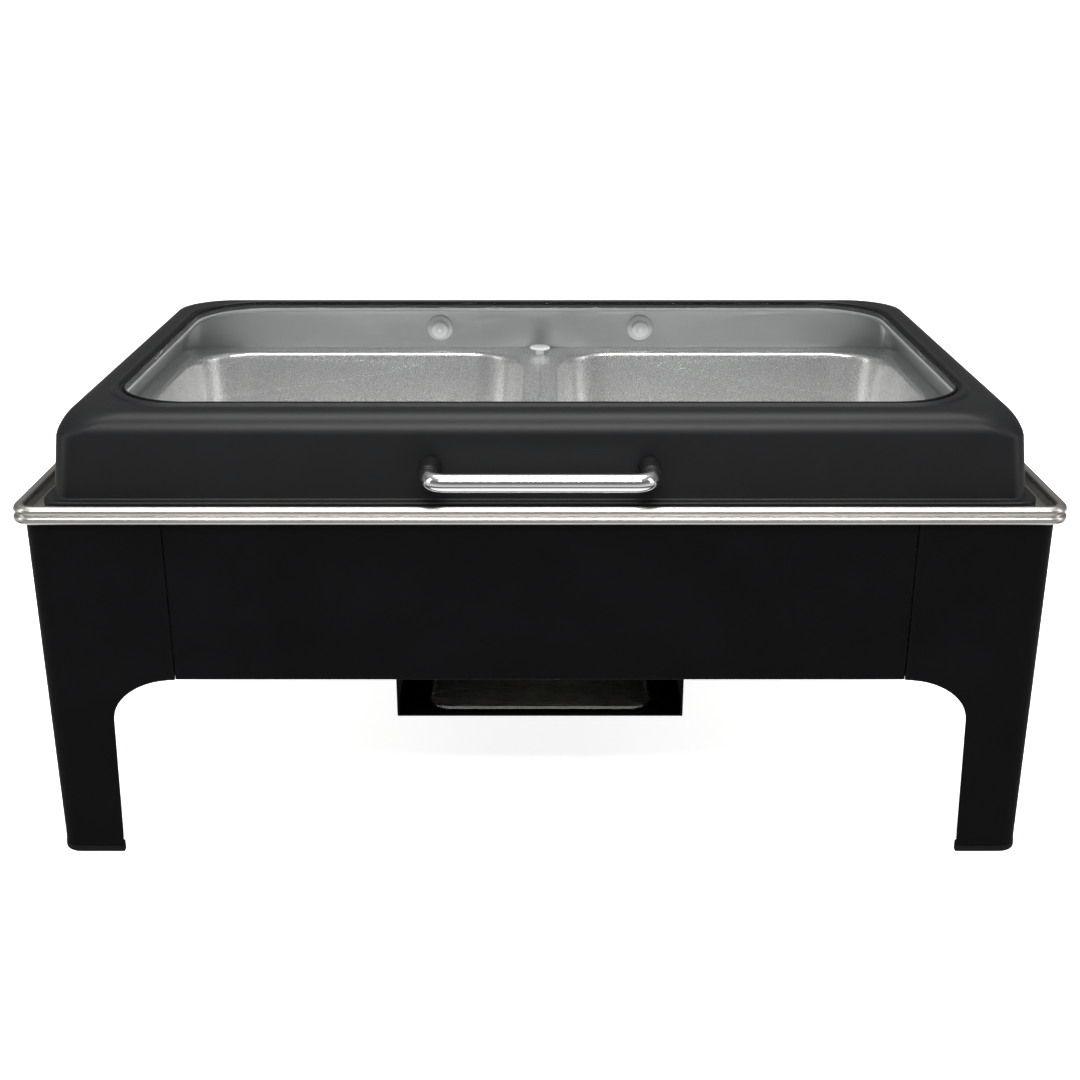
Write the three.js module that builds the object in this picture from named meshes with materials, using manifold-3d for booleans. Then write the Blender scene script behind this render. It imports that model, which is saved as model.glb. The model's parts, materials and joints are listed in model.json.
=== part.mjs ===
// Electric buffet server: a four-legged stand, a water pan with a rolled rim, two food pans,
// a hinged lid with a window, and an electric heater unit under the water pan.
// Millimetres, +Z up, the front faces -Y, the floor is Z = 0.

import * as THREE from "three";
import { mergeVertices } from "three/addons/utils/BufferGeometryUtils.js";
import Module from "manifold-3d";

const wasm = await Module();
wasm.setup();

// ---- Driving dimensions ------------------------------------------------------------------

// Every nested outline (rim, lid, window, tub) is a rounded rectangle whose half width is its
// half depth plus this: a full-size pan is 530 x 325, so the two differ by 205 in all.
const SPREAD = 102.5;
const CLEAR = 0.3;
const CORNER_STEPS = 4;

const STAND_DEPTH = 176.5;
const STAND_WIDTH = STAND_DEPTH + SPREAD;
const STAND_TOP = 205.5;
const STAND_CORNER = 11;
const LEG_SHEET = 2;
const LEG_ARM = 74.7;
const LEG_TIP = 35.7;
const LEG_WAIST = 38.2;
const ARCH_SPRING = 84.3;
const APRON_BOTTOM = 110.5;
const APRON_SHEET = 1.2;
const APRON_RECESS = 0.7;
const TOP_FLANGE = 12;
const BOTTOM_FLANGE = 10;

const FOOT_HEIGHT = 6;
const FOOT_SOLE = 1.5;
const FOOT_WALL = 0.8;

const RIM_DEPTH = 181.5;
const RIM_TOP = 213.9;
const RIM_BOTTOM = 203.9;
const RIM_ROLL = 3.15;
const PAN_SHEET = 1.2;
const GUTTER_TOP = 207;
const COLLAR_DEPTH = 161.4;
const LEDGE_TOP = 219.2;
const TUB_DEPTH = 155.5;
const TUB_FLOOR = 125;
const TUB_BEND = 7;

const FOOD_FLANGE = 161.6;
const FOOD_FLANGE_TOP = 220.5;
const FOOD_SHEET = 0.9;
const FOOD_DEPTH = 65;
const FOOD_HALF_WIDTH = 131.8;
const FOOD_CENTRE = 132.3;
const FOOD_SPREAD = FOOD_HALF_WIDTH - FOOD_FLANGE;

const LID_FLANGE = 168.5;
const LID_FLANGE_TOP = 212.8;
const LID_LIP_BOTTOM = GUTTER_TOP + CLEAR;
const LID_SHEET = 1;
const LID_WALL = 163.9;
const LID_WALL_BOTTOM = 214.2;
const LID_SHOULDER_WALL = 160.6;
const LID_SHOULDER_Z = 246;
const LID_SHOULDER = 13;
const LID_CORNER = 13;
const LID_TOP = LID_SHOULDER_Z + LID_SHOULDER;
const WINDOW_EDGE = 137.4;
const WINDOW_BEAD = 1.6;
const WINDOW_CORNER = 46;
const GLASS_DEPTH = 135.9;
const GLASS_TOP = 259.4;
const GLASS_SHEET = 3.6;

const HANDLE_Y = -190;
const HANDLE_Z = 231;
const HANDLE_RADIUS = 5;
const HANDLE_HALF = 59;
const HANDLE_BEND = 9.5;
const HANDLE_TAIL = -178.7;

const HINGE_Y = 191;
const HINGE_Z = 214;
const HINGE_BORE = 3.3;
const HINGE_PIN = 3;
const KNUCKLE = 5;
const DAMPER = 6;
const HINGE_ARM_X = 74;
const HINGE_ARM_WIDTH = 24;
const HINGE_BOLT_Z = 236;

const RAIL_Y = 88;
const RAIL_WIDTH = 14;
const RAIL_BOTTOM = 112;
const RAIL_TOP = 118.8;

const HEATER_HALF_WIDTH = 85.4;
const HEATER_FRONT = -130;
const HEATER_BACK = 130;
const HEATER_BOTTOM = 64;
const HEATER_SHEET = 1.5;
const HEATER_FLANGE = 17;
const HEATER_TOP = RAIL_BOTTOM - CLEAR;
const CONTROL_Z = 87.5;
const PANEL_Y = 128;
const PANEL_SHEET = 1.5;
const KNOB_X = -54;
const LAMP_X = -24;
const SWITCH_X = 0;
const INLET_X = 46;

// ---- Materials ---------------------------------------------------------------------------

function finish(color, roughness, metalness, extra = {}) {
  return new THREE.MeshStandardMaterial({ color, roughness, metalness, ...extra });
}

const lidBlack = finish(0x26272a, 0.5, 0.2);
const standBlack = finish(0x17181a, 0.6, 0.2);
const satinSteel = finish(0xa7a8a8, 0.35, 1);
const rimSteel = finish(0xc9c6c0, 0.22, 1);
const chromeSteel = finish(0xe6e6e6, 0.06, 1);
const zincSteel = finish(0xb4b6b8, 0.4, 1);
const castAluminium = finish(0xb9babb, 0.5, 1);
const clearGlass = finish(0xd9dedd, 0.05, 0, { transparent: true, opacity: 0.35 });
const clearSilicone = finish(0xe3e6e6, 0.3, 0, { transparent: true, opacity: 0.6 });
const blackRubber = finish(0x101011, 0.7, 0);
const blackPlastic = finish(0x161617, 0.45, 0);
const elementSheath = finish(0x5c5a57, 0.55, 0.8);
const whiteCeramic = finish(0xe4e0d6, 0.6, 0);
const woolPad = finish(0xd8d3c4, 0.95, 0);
const amberLens = finish(0xd0521c, 0.25, 0);
const redLens = finish(0xa81f1a, 0.3, 0);
const brassPin = finish(0xb89a55, 0.35, 1);

// ---- Geometry helpers --------------------------------------------------------------------

const UP = new THREE.Vector3(0, 0, 1);
const RIGHT = new THREE.Vector3(1, 0, 0);
const BACK = new THREE.Vector3(0, 1, 0);

// A geometry as a manifold-3d solid, with shared vertices merged.
function solid(geometry) {
  const bare = geometry.clone();
  bare.deleteAttribute("normal");
  bare.deleteAttribute("uv");
  const merged = mergeVertices(bare, 1e-3);
  return new wasm.Manifold(
    new wasm.Mesh({
      numProp: 3,
      vertProperties: new Float32Array(merged.attributes.position.array),
      triVerts: new Uint32Array(merged.index.array),
    }),
  );
}

function toGeometry(manifold) {
  const mesh = manifold.getMesh();
  const geometry = new THREE.BufferGeometry();
  geometry.setAttribute("position", new THREE.BufferAttribute(mesh.vertProperties, 3));
  geometry.setIndex(new THREE.BufferAttribute(mesh.triVerts, 1));
  const flat = geometry.toNonIndexed();
  flat.computeVertexNormals();
  return flat;
}

function join(...geometries) {
  return toGeometry(geometries.map(solid).reduce((whole, next) => whole.add(next)));
}

function cut(geometry, ...tools) {
  return toGeometry(tools.map(solid).reduce((whole, tool) => whole.subtract(tool), solid(geometry)));
}

function moved(geometry, x = 0, y = 0, z = 0) {
  return geometry.clone().translate(x, y, z);
}

// A block from its lowest to its highest corner.
function block(x0, y0, z0, x1, y1, z1) {
  const box = new THREE.BoxGeometry(x1 - x0, y1 - y0, z1 - z0);
  return box.translate((x0 + x1) / 2, (y0 + y1) / 2, (z0 + z1) / 2);
}

// Turns a shape drawn in its own XY plane, and extruded along its Z, onto the axes a, b and c.
function onAxes(geometry, a, b, c) {
  return geometry.applyMatrix4(new THREE.Matrix4().makeBasis(a, b, c));
}

function extrude(outline, length) {
  const shape = outline.isShape ? outline : new THREE.Shape(outline.map(([a, b]) => new THREE.Vector2(a, b)));
  return new THREE.ExtrudeGeometry(shape, { depth: length, bevelEnabled: false, curveSegments: 6 });
}

// An outline in the YZ plane, extruded from x0 to x1.
function alongX(outline, x0, x1) {
  return onAxes(extrude(outline, x1 - x0), BACK, UP, RIGHT).translate(x0, 0, 0);
}

// An outline in the XZ plane, extruded from y0 to y1.
function alongY(outline, y0, y1) {
  return onAxes(extrude(outline, y1 - y0), RIGHT, UP, BACK.clone().negate()).translate(0, y1, 0);
}

// A turned piece: [radius, height] pairs round Z, from the axis at the bottom to the axis at the top.
function turned(profile, segments = 20) {
  const lathe = new THREE.LatheGeometry(profile.map(([r, z]) => new THREE.Vector2(r, z)), segments);
  return lathe.rotateX(Math.PI / 2);
}

// A turned piece along +Y, starting at y0.
function turnedAlongY(profile, x, y0, z, segments = 20) {
  return turned(profile, segments).rotateX(-Math.PI / 2).translate(x, y0, z);
}

// A round bar along X.
function barAlongX(radius, x0, x1, y, z, segments = 20) {
  const bar = new THREE.CylinderGeometry(radius, radius, x1 - x0, segments);
  return bar.rotateZ(Math.PI / 2).translate((x0 + x1) / 2, y, z);
}

// A round bar along Y.
function barAlongY(radius, x, y0, y1, z, segments = 20) {
  const bar = new THREE.CylinderGeometry(radius, radius, y1 - y0, segments);
  return bar.translate(x, (y0 + y1) / 2, z);
}

// A round bar of the given radius along a list of points. The section has an even number of sides.
function barAlong(points, radius, sides, steps) {
  const path = new THREE.CatmullRomCurve3(points.map((p) => new THREE.Vector3(...p)), false, "centripetal");
  const shape = new THREE.Shape();
  shape.absarc(0, 0, radius, 0, 2 * Math.PI);
  return new THREE.ExtrudeGeometry(shape, { extrudePath: path, steps, curveSegments: sides / 2 });
}

// Points of an arc in a plane: centre, radius, first and last angle in degrees.
function arc(a, b, radius, from, to, steps) {
  return Array.from({ length: steps + 1 }, (_, i) => {
    const angle = THREE.MathUtils.degToRad(from + ((to - from) * i) / steps);
    return [a + radius * Math.cos(angle), b + radius * Math.sin(angle)];
  });
}

// Sweeps a profile round a rounded rectangle. Each point is [half depth, z, corner radius]; the
// half width is the half depth plus the spread, and a point [0, z, 0] closes the sweep on the axis.
// It is a lathe whose rings are spread apart: each quarter turn keeps to its own corner.
function nested(profile, spread = SPREAD, steps = CORNER_STEPS) {
  const columns = 4 * (steps + 1);
  const lathe = new THREE.LatheGeometry(profile.map(([d, z]) => new THREE.Vector2(d, z)), columns);
  const position = lathe.attributes.position;
  for (let column = 0; column <= columns; column += 1) {
    const step = column % columns;
    const quarter = Math.floor(step / (steps + 1));
    const turn = ((quarter + (step % (steps + 1)) / steps) * Math.PI) / 2;
    const sideX = quarter < 2 ? 1 : -1;
    const sideY = quarter === 1 || quarter === 2 ? 1 : -1;
    profile.forEach(([d, z, r], i) => {
      const onAxis = d === 0 && r === 0;
      const x = onAxis ? 0 : sideX * (d + spread - r) + r * Math.sin(turn);
      const y = onAxis ? 0 : sideY * (d - r) - r * Math.cos(turn);
      position.setXYZ(column * profile.length + i, x, y, z);
    });
  }
  return lathe;
}

// A flat plate with rounded corners between two heights.
function plate(halfWidth, halfDepth, corner, z0, z1) {
  const profile = [[0, z0, 0], [halfDepth, z0, corner], [halfDepth, z1, corner], [0, z1, 0]];
  return nested(profile, halfWidth - halfDepth);
}

const group = new THREE.Group();

function add(name, geometry, material, parent = group) {
  const mesh = new THREE.Mesh(geometry, material);
  mesh.name = name;
  parent.add(mesh);
  return mesh;
}

// The four corners of the stand: name, side in X, side in Y.
const CORNERS = [
  ["front_left", -1, -1],
  ["front_right", 1, -1],
  ["back_left", -1, 1],
  ["back_right", 1, 1],
];
const SIDES = [["left", -1], ["right", 1]];

// Mirrors a geometry made for the front right corner (+X, -Y) into another corner.
function toCorner(geometry, sideX, sideY) {
  const mirror = new THREE.Matrix4().makeScale(sideX, -sideY, 1);
  const placed = geometry.clone().applyMatrix4(mirror);
  return sideX * -sideY < 0 ? turnedInsideOut(placed) : placed;
}

function turnedInsideOut(geometry) {
  const flipped = geometry.index ? geometry.toNonIndexed() : geometry;
  const position = flipped.attributes.position;
  for (let i = 0; i < position.count; i += 3) {
    const [x, y, z] = [position.getX(i), position.getY(i), position.getZ(i)];
    position.setXYZ(i, position.getX(i + 1), position.getY(i + 1), position.getZ(i + 1));
    position.setXYZ(i + 1, x, y, z);
  }
  flipped.computeVertexNormals();
  return flipped;
}

// ---- Stand: legs, feet, aprons, corner brackets ---------------------------------------------

// An L-shaped strip with a rounded outer corner, at the front right corner.
function cornerStrip(width, depth, corner, sheet, arm, z0, z1) {
  const outer = arc(width - corner, -depth + corner, corner, -90, 0, CORNER_STEPS);
  const inner = arc(width - corner, -depth + corner, corner - sheet, 0, -90, CORNER_STEPS);
  const outline = [
    [width - arm, -depth],
    ...outer,
    [width, -depth + arm],
    [width - sheet, -depth + arm],
    ...inner,
    [width - arm, -depth + sheet],
  ];
  return extrude(outline, z1 - z0).translate(0, 0, z0);
}

// The space under the arch between two legs, as distances from the stand's outer face.
const archSteps = 6;
const archOutline = [
  [LEG_ARM + 5, -5],
  [LEG_TIP, -5],
  ...Array.from({ length: archSteps + 1 }, (_, i) => {
    const angle = (i / archSteps) * (Math.PI / 2);
    const reach = LEG_ARM - (LEG_ARM - LEG_WAIST) * Math.cos(angle);
    return [reach, ARCH_SPRING + (APRON_BOTTOM - ARCH_SPRING) * Math.sin(angle)];
  }),
  [LEG_ARM + 5, APRON_BOTTOM],
];

function leg() {
  const strip = cornerStrip(
    STAND_WIDTH, STAND_DEPTH, STAND_CORNER, LEG_SHEET, LEG_ARM, FOOT_SOLE + CLEAR, STAND_TOP,
  );
  const frontArch = alongY(
    archOutline.map(([a, z]) => [STAND_WIDTH - a, z]), -STAND_DEPTH - 5, -STAND_DEPTH + 20,
  );
  const sideArch = alongX(
    archOutline.map(([a, z]) => [-STAND_DEPTH + a, z]), STAND_WIDTH - 20, STAND_WIDTH + 5,
  );
  return cut(strip, frontArch, sideArch);
}

function foot() {
  const grip = CLEAR + FOOT_WALL;
  const shoe = cornerStrip(
    STAND_WIDTH + grip, STAND_DEPTH + grip, STAND_CORNER + grip, LEG_SHEET + 2 * grip,
    LEG_TIP + 3 * grip, 0, FOOT_HEIGHT,
  );
  const slot = cornerStrip(
    STAND_WIDTH + CLEAR, STAND_DEPTH + CLEAR, STAND_CORNER + CLEAR, LEG_SHEET + 2 * CLEAR,
    LEG_TIP + 3 * CLEAR, FOOT_SOLE, FOOT_HEIGHT + 1,
  );
  return cut(shoe, slot);
}

function cornerBracket() {
  const inset = LEG_SHEET + CLEAR;
  return cornerStrip(
    STAND_WIDTH - inset, STAND_DEPTH - inset, STAND_CORNER - inset, 1.5, LEG_ARM + 15, 120, 196,
  );
}

for (const [corner, sideX, sideY] of CORNERS) {
  add(`leg_${corner}`, toCorner(leg(), sideX, sideY), standBlack);
  add(`foot_${corner}`, toCorner(foot(), sideX, sideY), blackRubber);
  add(`corner_bracket_${corner}`, toCorner(cornerBracket(), sideX, sideY), zincSteel);
}

// A folded panel: upright sheet with a flange turned in along its top and bottom edges.
// Offsets are measured inwards from the stand's outer face.
const apronOutline = [
  [APRON_RECESS, APRON_BOTTOM],
  [APRON_RECESS + BOTTOM_FLANGE, APRON_BOTTOM],
  [APRON_RECESS + BOTTOM_FLANGE, APRON_BOTTOM + APRON_SHEET],
  [APRON_RECESS + APRON_SHEET, APRON_BOTTOM + APRON_SHEET],
  [APRON_RECESS + APRON_SHEET, STAND_TOP - APRON_SHEET],
  [APRON_RECESS + TOP_FLANGE, STAND_TOP - APRON_SHEET],
  [APRON_RECESS + TOP_FLANGE, STAND_TOP],
  [APRON_RECESS, STAND_TOP],
];
const apronEndX = STAND_WIDTH - LEG_ARM - 0.4;
const apronEndY = STAND_DEPTH - LEG_ARM - 0.4;

for (const [name, side] of [["front", -1], ["back", 1]]) {
  const outline = apronOutline.map(([a, z]) => [side * (STAND_DEPTH - a), z]);
  add(`apron_${name}`, alongX(outline, -apronEndX, apronEndX), standBlack);
}
for (const [name, side] of SIDES) {
  const outline = apronOutline.map(([a, z]) => [side * (STAND_WIDTH - a), z]);
  add(`apron_${name}`, alongY(outline, -apronEndY, apronEndY), standBlack);
}

// ---- Heater unit under the water pan ---------------------------------------------------------

function rail(y) {
  const sheet = 1.5;
  const half = RAIL_WIDTH / 2;
  const outline = [
    [y - half, RAIL_BOTTOM],
    [y - half + sheet, RAIL_BOTTOM],
    [y - half + sheet, RAIL_TOP - sheet],
    [y + half - sheet, RAIL_TOP - sheet],
    [y + half - sheet, RAIL_BOTTOM],
    [y + half, RAIL_BOTTOM],
    [y + half, RAIL_TOP],
    [y - half, RAIL_TOP],
  ];
  const end = STAND_WIDTH - APRON_RECESS - APRON_SHEET - CLEAR;
  return alongX(outline, -end, end);
}
add("heater_rail_front", rail(-RAIL_Y), standBlack);
add("heater_rail_rear", rail(RAIL_Y), standBlack);

const wallInner = HEATER_HALF_WIDTH - HEATER_SHEET;
const floorTop = HEATER_BOTTOM + HEATER_SHEET;
const flangeEnd = HEATER_HALF_WIDTH + HEATER_FLANGE;

function heaterBracket() {
  const half = [
    [HEATER_HALF_WIDTH, HEATER_BOTTOM],
    [HEATER_HALF_WIDTH, HEATER_TOP - HEATER_SHEET],
    [flangeEnd, HEATER_TOP - HEATER_SHEET],
    [flangeEnd, HEATER_TOP],
    [wallInner, HEATER_TOP],
    [wallInner, floorTop],
  ];
  const otherHalf = half.map(([x, z]) => [-x, z]).reverse();
  const channel = alongY([...half, ...otherHalf], HEATER_FRONT, HEATER_BACK);
  const lips = SIDES.map(([, side]) =>
    alongY(
      [[side * (wallInner + 0.5), 74], [side * (wallInner + 0.5), HEATER_TOP - 1], [side * 76, HEATER_TOP - 1]],
      HEATER_FRONT, HEATER_FRONT + HEATER_SHEET,
    ),
  );
  return join(channel, ...lips);
}
add("heater_bracket", heaterBracket(), standBlack);

// A shallow tray with a small rolled lip, standing on the bracket's floor.
const TRAY_HALF_WIDTH = 67.5;
const TRAY_HALF_DEPTH = 112;
const trayFloor = floorTop + CLEAR;
const trayProfile = [
  [0, trayFloor, 0],
  [TRAY_HALF_DEPTH - 1.2, trayFloor, 12.8],
  [TRAY_HALF_DEPTH, trayFloor + 1.2, 14],
  [TRAY_HALF_DEPTH - 0.4, trayFloor + 2.1, 13.6],
  [TRAY_HALF_DEPTH - 1.4, trayFloor + 2.5, 12.6],
  [TRAY_HALF_DEPTH - 2.4, trayFloor + 2.1, 11.6],
  [TRAY_HALF_DEPTH - 3, trayFloor + 1, 11],
  [0, trayFloor + 1, 0],
];
const tray = nested(trayProfile, TRAY_HALF_WIDTH - TRAY_HALF_DEPTH);
add("reflector_tray", moved(tray, 0, HEATER_FRONT + 4 + TRAY_HALF_DEPTH), satinSteel);

const SHIELD_BOTTOM = 100;
const SHIELD_TOP = 101.3;
const ELEMENT_END_X = 20;
const ELEMENT_END_Y = 70;

function heatShield() {
  const outer = wallInner - CLEAR;
  const inner = outer - 1.3;
  const outline = [
    [-outer, 92], [-inner, 92], [-inner, SHIELD_BOTTOM], [inner, SHIELD_BOTTOM],
    [inner, 92], [outer, 92], [outer, SHIELD_TOP], [-outer, SHIELD_TOP],
  ];
  const holes = SIDES.map(([, side]) =>
    moved(turned([[0, 95], [4.5, 95], [4.5, 105], [0, 105]]), side * ELEMENT_END_X, ELEMENT_END_Y),
  );
  return cut(alongY(outline, -78, 80), ...holes);
}
add("heat_shield", heatShield(), zincSteel);
add("insulation_pad", block(-76, -78, SHIELD_TOP + CLEAR, 76, 56, 109.6), woolPad);

const ELEMENT_RADIUS = 3.5;
const PLATE_BOTTOM = RAIL_TOP + CLEAR;
const elementZ = PLATE_BOTTOM - CLEAR - ELEMENT_RADIUS;
const elementHalf = [
  [ELEMENT_END_X, ELEMENT_END_Y, SHIELD_BOTTOM],
  [ELEMENT_END_X, ELEMENT_END_Y, 107],
  [21, 65.5, 113.4],
  [24, 56, elementZ],
  [50, 44, elementZ],
  [60, 20, elementZ],
  [60, -40, elementZ],
  [46, -62, elementZ],
];
const elementRoute = [
  ...elementHalf,
  [0, -68, elementZ],
  ...elementHalf.map(([x, y, z]) => [-x, y, z]).reverse(),
];
add("heating_element", barAlong(elementRoute, ELEMENT_RADIUS, 8, 52), elementSheath);
const tubUnderside = TUB_FLOOR - PAN_SHEET;
add("heating_plate", plate(78, 101, 8, PLATE_BOTTOM, tubUnderside - CLEAR), castAluminium);
add("thermal_cutout", moved(turned([[0, 112.6], [8, 112.6], [8, RAIL_TOP], [0, RAIL_TOP]]), 0, 8), blackPlastic);
add("terminal_block", block(-26, 62, 86, 26, 78, SHIELD_BOTTOM - CLEAR), whiteCeramic);

// ---- Controls on the heater's rear panel -----------------------------------------------------

const panelBack = PANEL_Y + PANEL_SHEET;
const trimFace = panelBack + CLEAR;

function rearPanel() {
  const sheet = block(
    -wallInner + CLEAR, PANEL_Y, floorTop + CLEAR, wallInner - CLEAR, panelBack, HEATER_TOP - 1.8,
  );
  const through = (x, halfX, halfZ) =>
    block(x - halfX, PANEL_Y - 2, CONTROL_Z - halfZ, x + halfX, panelBack + 2, CONTROL_Z + halfZ);
  return cut(
    sheet,
    barAlongY(3.5, KNOB_X, PANEL_Y - 2, panelBack + 2, CONTROL_Z),
    barAlongY(4.4, LAMP_X, PANEL_Y - 2, panelBack + 2, CONTROL_Z),
    through(SWITCH_X, 9.8, 6.3),
    through(INLET_X, 13.8, 10),
  );
}
add("rear_panel", rearPanel(), standBlack);

add("thermostat_body", turnedAlongY([[0, 0], [14, 0], [14, 20], [6, 21], [6, 22], [0, 22]], KNOB_X, 103, CONTROL_Z), zincSteel);
add("thermostat_shaft", turnedAlongY([[0, 0], [3, 0], [3, 16], [0, 16]], KNOB_X, 125.3, CONTROL_Z), zincSteel);

const KNOB_DEPTH = 17;
function thermostatKnob() {
  const skirtFace = panelBack + 0.7;
  const body = turnedAlongY(
    [[0, 0], [15, 0], [15, 2.6], [12.6, 4], [11.8, KNOB_DEPTH - 1], [10.8, KNOB_DEPTH], [0, KNOB_DEPTH]],
    KNOB_X, skirtFace, CONTROL_Z, 24,
  );
  const pointer = block(KNOB_X - 1.6, skirtFace + 6, CONTROL_Z - 2, KNOB_X + 1.6, skirtFace + KNOB_DEPTH + 1.6, CONTROL_Z + 11);
  const bore = barAlongY(3.3, KNOB_X, skirtFace - 1, 142, CONTROL_Z);
  return cut(join(body, pointer), bore);
}
add("thermostat_knob", thermostatKnob(), blackPlastic);

add(
  "pilot_lamp",
  turnedAlongY([[0, 0], [4, 0], [4, 18], [5.8, 18], [5.8, 19.4], [4.2, 20.6], [2.2, 22], [0, 22.4]], LAMP_X, 111.8, CONTROL_Z),
  amberLens,
);

function switchHousing() {
  const body = block(SWITCH_X - 9.5, 110, CONTROL_Z - 6, SWITCH_X + 9.5, trimFace + 0.5, CONTROL_Z + 6);
  const bezel = block(SWITCH_X - 12.5, trimFace, CONTROL_Z - 8.5, SWITCH_X + 12.5, trimFace + 1.5, CONTROL_Z + 8.5);
  const well = block(SWITCH_X - 8.4, 122, CONTROL_Z - 4.8, SWITCH_X + 8.4, trimFace + 3, CONTROL_Z + 4.8);
  return cut(join(body, bezel), well);
}
add("switch_housing", switchHousing(), blackPlastic);

// The rocker stands tilted to its off side, and turns about an upright axis inside the well.
const ROCKER_PIVOT_Y = 127;
const ROCKER_TILT = 7;
const rocker = extrude([[-6.9, 4.6], [-5, -3.6], [5, -3.6], [6.9, 4.6], [0, 3]], 8.8)
  .translate(0, 0, -4.4)
  .rotateZ(THREE.MathUtils.degToRad(-ROCKER_TILT))
  .translate(SWITCH_X, ROCKER_PIVOT_Y, CONTROL_Z);
add("switch_rocker", rocker, redLens);

function powerInlet() {
  const body = block(INLET_X - 13.5, 112, CONTROL_Z - 9.7, INLET_X + 13.5, trimFace + 1, CONTROL_Z + 9.7);
  const flange = block(INLET_X - 24, trimFace, CONTROL_Z - 11, INLET_X + 24, trimFace + 2, CONTROL_Z + 11);
  const socket = block(INLET_X - 12, 118, CONTROL_Z - 8, INLET_X + 12, trimFace + 4, CONTROL_Z + 8);
  const screwHoles = SIDES.map(([, side]) =>
    barAlongY(1.7, INLET_X + side * 19.5, trimFace - 1, trimFace + 3, CONTROL_Z, 12),
  );
  return cut(join(body, flange), socket, ...screwHoles);
}
add("power_inlet", powerInlet(), blackPlastic);

function inletPins() {
  const base = block(INLET_X - 9, 118.3, CONTROL_Z - 3, INLET_X + 9, 119.5, CONTROL_Z + 4.5);
  const pin = (x, z) => block(INLET_X + x - 1, 119, CONTROL_Z + z - 2, INLET_X + x + 1, 129, CONTROL_Z + z + 2);
  return join(base, pin(-7, -1), pin(7, -1), pin(0, 2.5));
}
add("inlet_pins", inletPins(), brassPin);

const WIRE_RADIUS = 1.2;
const wireRoutes = {
  wire_inlet_to_switch: [[46, 111.6, 87.5], [46, 107, 87.5], [24, 98, 87.5], [3, 103, 87.5], [3, 109.6, 87.5]],
  wire_thermostat_to_element: [[-60, 102.7, 92], [-60, 95, 93], [-44, 88, 92], [-18, 86, 92], [-14, 82, 92], [-14, 78.4, 92]],
};
for (const [name, route] of Object.entries(wireRoutes)) {
  add(name, barAlong(route, WIRE_RADIUS, 6, 12), blackPlastic);
}

// ---- Water pan and food pans -----------------------------------------------------------------

const rimInner = RIM_DEPTH - 2 * RIM_ROLL;
const rollZ = RIM_TOP - RIM_ROLL;
const ledgeInner = TUB_DEPTH + PAN_SHEET;

// Underside outwards, over the rolled rim, then back in over the gutter, collar, ledge and tub.
const waterPanProfile = [
  [0, tubUnderside, 0],
  [ledgeInner - TUB_BEND - 1, tubUnderside, 16],
  [ledgeInner - 2.2, tubUnderside + 2.2, 21],
  [ledgeInner, tubUnderside + TUB_BEND + 1, 24],
  [ledgeInner, LEDGE_TOP - PAN_SHEET, 24],
  [COLLAR_DEPTH - PAN_SHEET, LEDGE_TOP - PAN_SHEET, 17],
  [COLLAR_DEPTH - PAN_SHEET, GUTTER_TOP - PAN_SHEET, 17],
  [rimInner + PAN_SHEET, GUTTER_TOP - PAN_SHEET, 8],
  [rimInner + PAN_SHEET, RIM_TOP - 2, 8],
  [RIM_DEPTH - PAN_SHEET, RIM_TOP - 2, 11],
  [RIM_DEPTH - PAN_SHEET, RIM_BOTTOM, 11],
  [RIM_DEPTH - 0.4, RIM_BOTTOM, 12],
  [RIM_DEPTH, RIM_BOTTOM + 0.8, 12],
  ...arc(RIM_DEPTH - RIM_ROLL, rollZ, RIM_ROLL, 0, 180, 6).map(([d, z]) => [d, z, d - RIM_DEPTH + 13]),
  [rimInner, GUTTER_TOP, 7],
  [COLLAR_DEPTH, GUTTER_TOP, 18],
  [COLLAR_DEPTH, LEDGE_TOP - 0.8, 18],
  [COLLAR_DEPTH - 0.8, LEDGE_TOP, 17],
  [TUB_DEPTH + 0.6, LEDGE_TOP, 23],
  [TUB_DEPTH, LEDGE_TOP - 0.6, 23],
  [TUB_DEPTH, TUB_FLOOR + TUB_BEND, 23],
  [TUB_DEPTH - 2, TUB_FLOOR + 2, 20],
  [TUB_DEPTH - TUB_BEND, TUB_FLOOR, 15],
  [0, TUB_FLOOR, 0],
];
add("water_pan", nested(waterPanProfile), rimSteel);

const foodFloor = FOOD_FLANGE_TOP - FOOD_DEPTH;
const foodProfile = [
  [0, foodFloor - FOOD_SHEET, 0],
  [128, foodFloor - FOOD_SHEET, 26],
  [137, foodFloor + 1.4, 33],
  [142.6, foodFloor + 7.5, 37],
  [145.1, foodFloor + 15, 38],
  [149.4, FOOD_FLANGE_TOP - 6, 41],
  [150.6, FOOD_FLANGE_TOP - 2.4, 42],
  [152.8, FOOD_FLANGE_TOP - FOOD_SHEET, 41],
  [FOOD_FLANGE, FOOD_FLANGE_TOP - FOOD_SHEET, 18],
  [FOOD_FLANGE, FOOD_FLANGE_TOP, 18],
  [152.4, FOOD_FLANGE_TOP, 41],
  [149.7, FOOD_FLANGE_TOP - 2, 41],
  [148.5, FOOD_FLANGE_TOP - 6, 40],
  [144.2, foodFloor + 15, 37],
  [141.8, foodFloor + 8, 36],
  [136.5, foodFloor + 2.2, 32],
  [128, foodFloor, 26],
  [0, foodFloor, 0],
];
for (const [name, side] of SIDES) {
  add(`food_pan_${name}`, moved(nested(foodProfile, FOOD_SPREAD), side * FOOD_CENTRE), satinSteel);
}

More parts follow.
